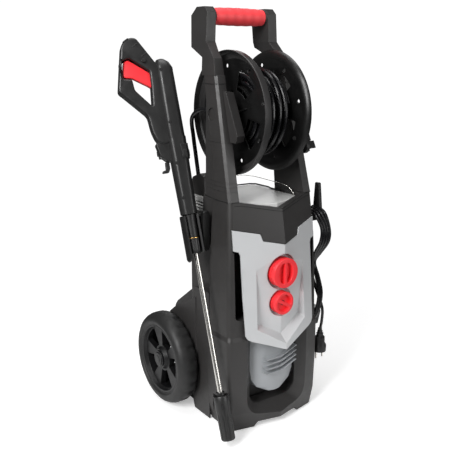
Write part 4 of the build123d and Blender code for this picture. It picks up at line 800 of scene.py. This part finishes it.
def column_line(z, x_sign):
    """Line around the column's outer side and front at one height."""
    rise = z - COLUMN_FOOT_Z
    inner = -84.9 + 0.0385 * rise
    outer = -107.9 + 0.042 * rise
    front = -168.7 + 0.2534 * rise
    side_end = front + 50 - 0.037 * rise
    rear = -71 + 0.053 * rise
    if z >= COLUMN_KNEE_Z:
        rear = -65 + 0.044 * (z - COLUMN_KNEE_Z)
    line = [
        (inner, front), (outer + 5, front + 1), (outer, front + 6), (outer, side_end), (outer + 9, rear),
    ]
    return [Vector((x * -x_sign, y, z)) for x, y in line]


# height and thickness of each line around the columns
SEAMS = ((717.9, 0.7), (606, 0.35), (528, 0.25), (520, 0.25), (511, 0.25), (491.2, 0.9))
for number, (z, thick) in enumerate(SEAMS):
    for side_name, x_sign in (("left", -1), ("right", 1)):
        tube(f"column_seam_{side_name}_{number}", column_line(z, x_sign), thick, "trim_black", "chassis",
             sides=6, slot_name="casing_black")


def visor_line(drop, out):
    """Line that follows the visor's sloping upper rim, a little below it."""
    line = []
    for x in (-97, -84, -40, 0, 40, 84, 97):
        z = min(491, 474 + 17 * abs(x) / 84) - drop
        rise = (z - 402) / 89
        corner_y = -175 + 9.5 * rise
        prow_y = -212.5 + 16 * rise
        half = 113.5 - 5.5 * rise
        line.append(Vector((x, prow_y + (corner_y - prow_y) * abs(x) / half - out, z)))
    return line


# the groove below the visor's rim is a thin dark line of painted shade
tube("visor_groove_shade", visor_line(6.5, 0.0), 0.55, "painted_hollow_shade", "chassis", sides=6, slot_name="casing_black")
tube("visor_rim_line", visor_line(0.8, -0.6), 0.8, "trim_black", "chassis", sides=6, slot_name="casing_black")

# dark strip of painted shade for the gap between the deck and the casing behind the columns
DECK_GAP_SHADE_LINE = (
    (80.5, -98, 484), (80.5, -62, 485), (79, -58, 487), (78, -12, 487), (70, 2, 486), (20, 8.5, 485.5),
    (-60, 9, 485), (-80, 3, 484),
)
tube("deck_gap_shade", [Vector(p) for p in DECK_GAP_SHADE_LINE], 1.7, "trim_black", "chassis", sides=8,
     slot_name="casing_black")

# ridge on the reel's left bearing box
RIDGE = ((-104, 698), (-113, 700), (-149, 628), (-146, 619), (-138, 622), (-104, 690))
slab("bearing_ridge", [rounded(RIDGE, 3)], (-64.5, 0, 0), Y_AXIS, Z_AXIS, 2.5, 1.6, "casing_black", "chassis")

# ------------------------------------------------------------------ gun holster
HOLSTER_INNER = 15.7
HOLSTER_OUTER = 20.2
HOLSTER_FROM = math.radians(55)
HOLSTER_TO = math.radians(-215)
HOLSTER_STEPS = 48


def holster_low(angle):
    """How far down the holster's wall reaches, as a distance along the gun."""
    tongue = math.exp(-((angle - 0.35) / 0.75) ** 2)
    return -80 - 15 * tongue


def holster_ring(angle):
    """Section of the holster's wall at one angle around the gun."""
    ray = GUN_OUT * math.cos(angle) - GUN_SIDE * math.sin(angle)
    low = holster_low(angle)
    inner = HOLSTER_INNER
    outer = HOLSTER_OUTER
    section = (
        (inner, low + 1.5), (inner + 1, low), (outer - 1.5, low), (outer, low + 2),
        (outer, -2.5), (outer - 1.5, -0.8), (inner + 1, -0.8), (inner, -2),
    )
    return [GUN_FOOT + ray * radius + GUN_UP * along for radius, along in section]


points, faces = join_rings([
    holster_ring(HOLSTER_FROM + (HOLSTER_TO - HOLSTER_FROM) * k / HOLSTER_STEPS)
    for k in range(HOLSTER_STEPS + 1)
])
add_piece("holster_channel", mesh_of("holster_channel", points, faces), "trim_black", "chassis",
          slot_name="casing_black", stands_for=("gun_holster",))
BRACKET = ((-8, 384), (7, 387), (8, 462), (3, 470), (-8, 468))
HOLSTER_FOOT = ((-106, 394), (-74, 384), (-58, 452), (-88, 456))
slab("holster_bracket", [rounded(BRACKET, 2.5)], (-124, -107, 0), X_AXIS, Z_AXIS, 5, 1.6,
     "trim_black", "chassis", slot_name="casing_black")
slab("holster_foot", [rounded(HOLSTER_FOOT, 4)], (-118, 0, 0), Y_AXIS, Z_AXIS, 11, 1.5,
     "trim_black", "chassis", slot_name="casing_black")
lathe("holster_screw", [(0, 2.6), (0.5, 2.6)], (-120, -112, 392), -Y_AXIS, "painted_hollow_shade", "chassis",
      slot_name="casing_black", segments=20)

# ------------------------------------------------------------------ floor, light and camera


def floor_material():
    """Pale, slightly uneven studio floor."""
    material, tree, output = new_tree("studio_floor")
    surface = tree.nodes.new("ShaderNodeBsdfPrincipled")
    coords = tree.nodes.new("ShaderNodeTexCoord")
    shade = spread(tree, noise(tree, coords, 3.0), 0.93, 0.96)
    tree.links.new(shade.outputs["Result"], surface.inputs["Base Color"])
    surface.inputs["Roughness"].default_value = 0.9
    # the floor is lit near the machine and fades into the white backdrop further out
    distance = tree.nodes.new("ShaderNodeVectorMath")
    distance.operation = "LENGTH"
    tree.links.new(coords.outputs["Object"], distance.inputs[0])
    fade = tree.nodes.new("ShaderNodeMapRange")
    fade.interpolation_type = "SMOOTHSTEP"
    fade.inputs["From Min"].default_value = 0.3
    fade.inputs["From Max"].default_value = 1.1
    tree.links.new(distance.outputs["Value"], fade.inputs["Value"])
    backdrop = tree.nodes.new("ShaderNodeEmission")
    lift = tree.nodes.new("ShaderNodeEmission")
    path = tree.nodes.new("ShaderNodeLightPath")
    # both glows are strong only for the camera, so that they hardly light the machine from below
    for glow, hidden, seen in ((backdrop, 0.08, 1.05), (lift, 0.04, 0.38)):
        level = tree.nodes.new("ShaderNodeMapRange")
        level.inputs["To Min"].default_value = hidden
        level.inputs["To Max"].default_value = seen
        tree.links.new(path.outputs["Is Camera Ray"], level.inputs["Value"])
        tree.links.new(level.outputs["Result"], glow.inputs["Strength"])
    base = tree.nodes.new("ShaderNodeAddShader")
    tree.links.new(surface.outputs["BSDF"], base.inputs[0])
    tree.links.new(lift.outputs["Emission"], base.inputs[1])
    mix = tree.nodes.new("ShaderNodeMixShader")
    tree.links.new(fade.outputs["Result"], mix.inputs["Fac"])
    tree.links.new(base.outputs["Shader"], mix.inputs[1])
    tree.links.new(backdrop.outputs["Emission"], mix.inputs[2])
    tree.links.new(mix.outputs["Shader"], output.inputs["Surface"])
    return material


FLOOR_REACH = 9000
FLOOR_Z = -0.2


def make_floor():
    """Round floor, far wider than the machine and a hair below its wheels."""
    ring = [(x, y, FLOOR_Z) for x, y in circle(FLOOR_REACH)]
    mesh = mesh_of("studio_floor", ring, [tuple(range(len(ring)))])
    coat_mesh(mesh, floor_material())
    floor = bpy.data.objects.new("studio_floor", mesh)
    bpy.context.scene.collection.objects.link(floor)


def area_light(name, spot, target, size, power):
    """Oblong soft box that looks at a target."""
    lamp = bpy.data.lights.new(name, "AREA")
    lamp.shape = "RECTANGLE"
    lamp.size = size[0]
    lamp.size_y = size[1]
    lamp.energy = power
    holder = bpy.data.objects.new(name, lamp)
    holder.location = spot
    away = Vector(target) - Vector(spot)
    holder.rotation_mode = "QUATERNION"
    holder.rotation_quaternion = away.to_track_quat("-Z", "Y")
    bpy.context.scene.collection.objects.link(holder)


def studio_world():
    """White to the camera, softer grey for everything that is reflected or lit by it."""
    world = bpy.data.worlds.new("studio")
    world.use_nodes = True
    tree = world.node_tree
    tree.nodes.clear()
    output = tree.nodes.new("ShaderNodeOutputWorld")
    seen = tree.nodes.new("ShaderNodeBackground")
    seen.inputs["Color"].default_value = (1, 1, 1, 1)
    seen.inputs["Strength"].default_value = 1.05
    lit = tree.nodes.new("ShaderNodeBackground")
    lit.inputs["Color"].default_value = (1.0, 0.99, 0.98, 1)
    lit.inputs["Strength"].default_value = 0.09
    path = tree.nodes.new("ShaderNodeLightPath")
    mix = tree.nodes.new("ShaderNodeMixShader")
    tree.links.new(path.outputs["Is Camera Ray"], mix.inputs["Fac"])
    tree.links.new(lit.outputs["Background"], mix.inputs[1])
    tree.links.new(seen.outputs["Background"], mix.inputs[2])
    tree.links.new(mix.outputs["Shader"], output.inputs["Surface"])
    bpy.context.scene.world = world


CAMERA_SPOT = Vector((-0.8581, -1.2145, 0.7732))
CAMERA_TARGET = Vector((0, 0, 0.3983))
FOCAL_LENGTH = 53.93
SENSOR_WIDTH = 36


def make_camera():
    """Camera that sees the machine from its front left, a little from above."""
    lens_data = bpy.data.cameras.new("camera")
    lens_data.lens = FOCAL_LENGTH
    lens_data.sensor_width = SENSOR_WIDTH
    camera = bpy.data.objects.new("camera", lens_data)
    camera.location = CAMERA_SPOT
    camera.rotation_mode = "QUATERNION"
    camera.rotation_quaternion = (CAMERA_TARGET - CAMERA_SPOT).to_track_quat("-Z", "Y")
    bpy.context.scene.collection.objects.link(camera)
    bpy.context.scene.camera = camera


make_floor()
studio_world()
area_light("key_left", (-2.0, -0.9, 1.7), (0, 0, 0.6), (0.9, 1.4), 66)
area_light("fill_front", (0.9, -2.3, 0.9), (0, 0, 0.4), (1.2, 1.4), 20)
area_light("top", (-0.1, 0.1, 2.4), (0, 0, 0.4), (1.2, 1.2), 22)
area_light("rim_back", (1.6, 1.6, 1.3), (0, 0, 0.5), (1.0, 1.4), 12)
make_camera()
bpy.context.scene.view_settings.view_transform = "Standard"
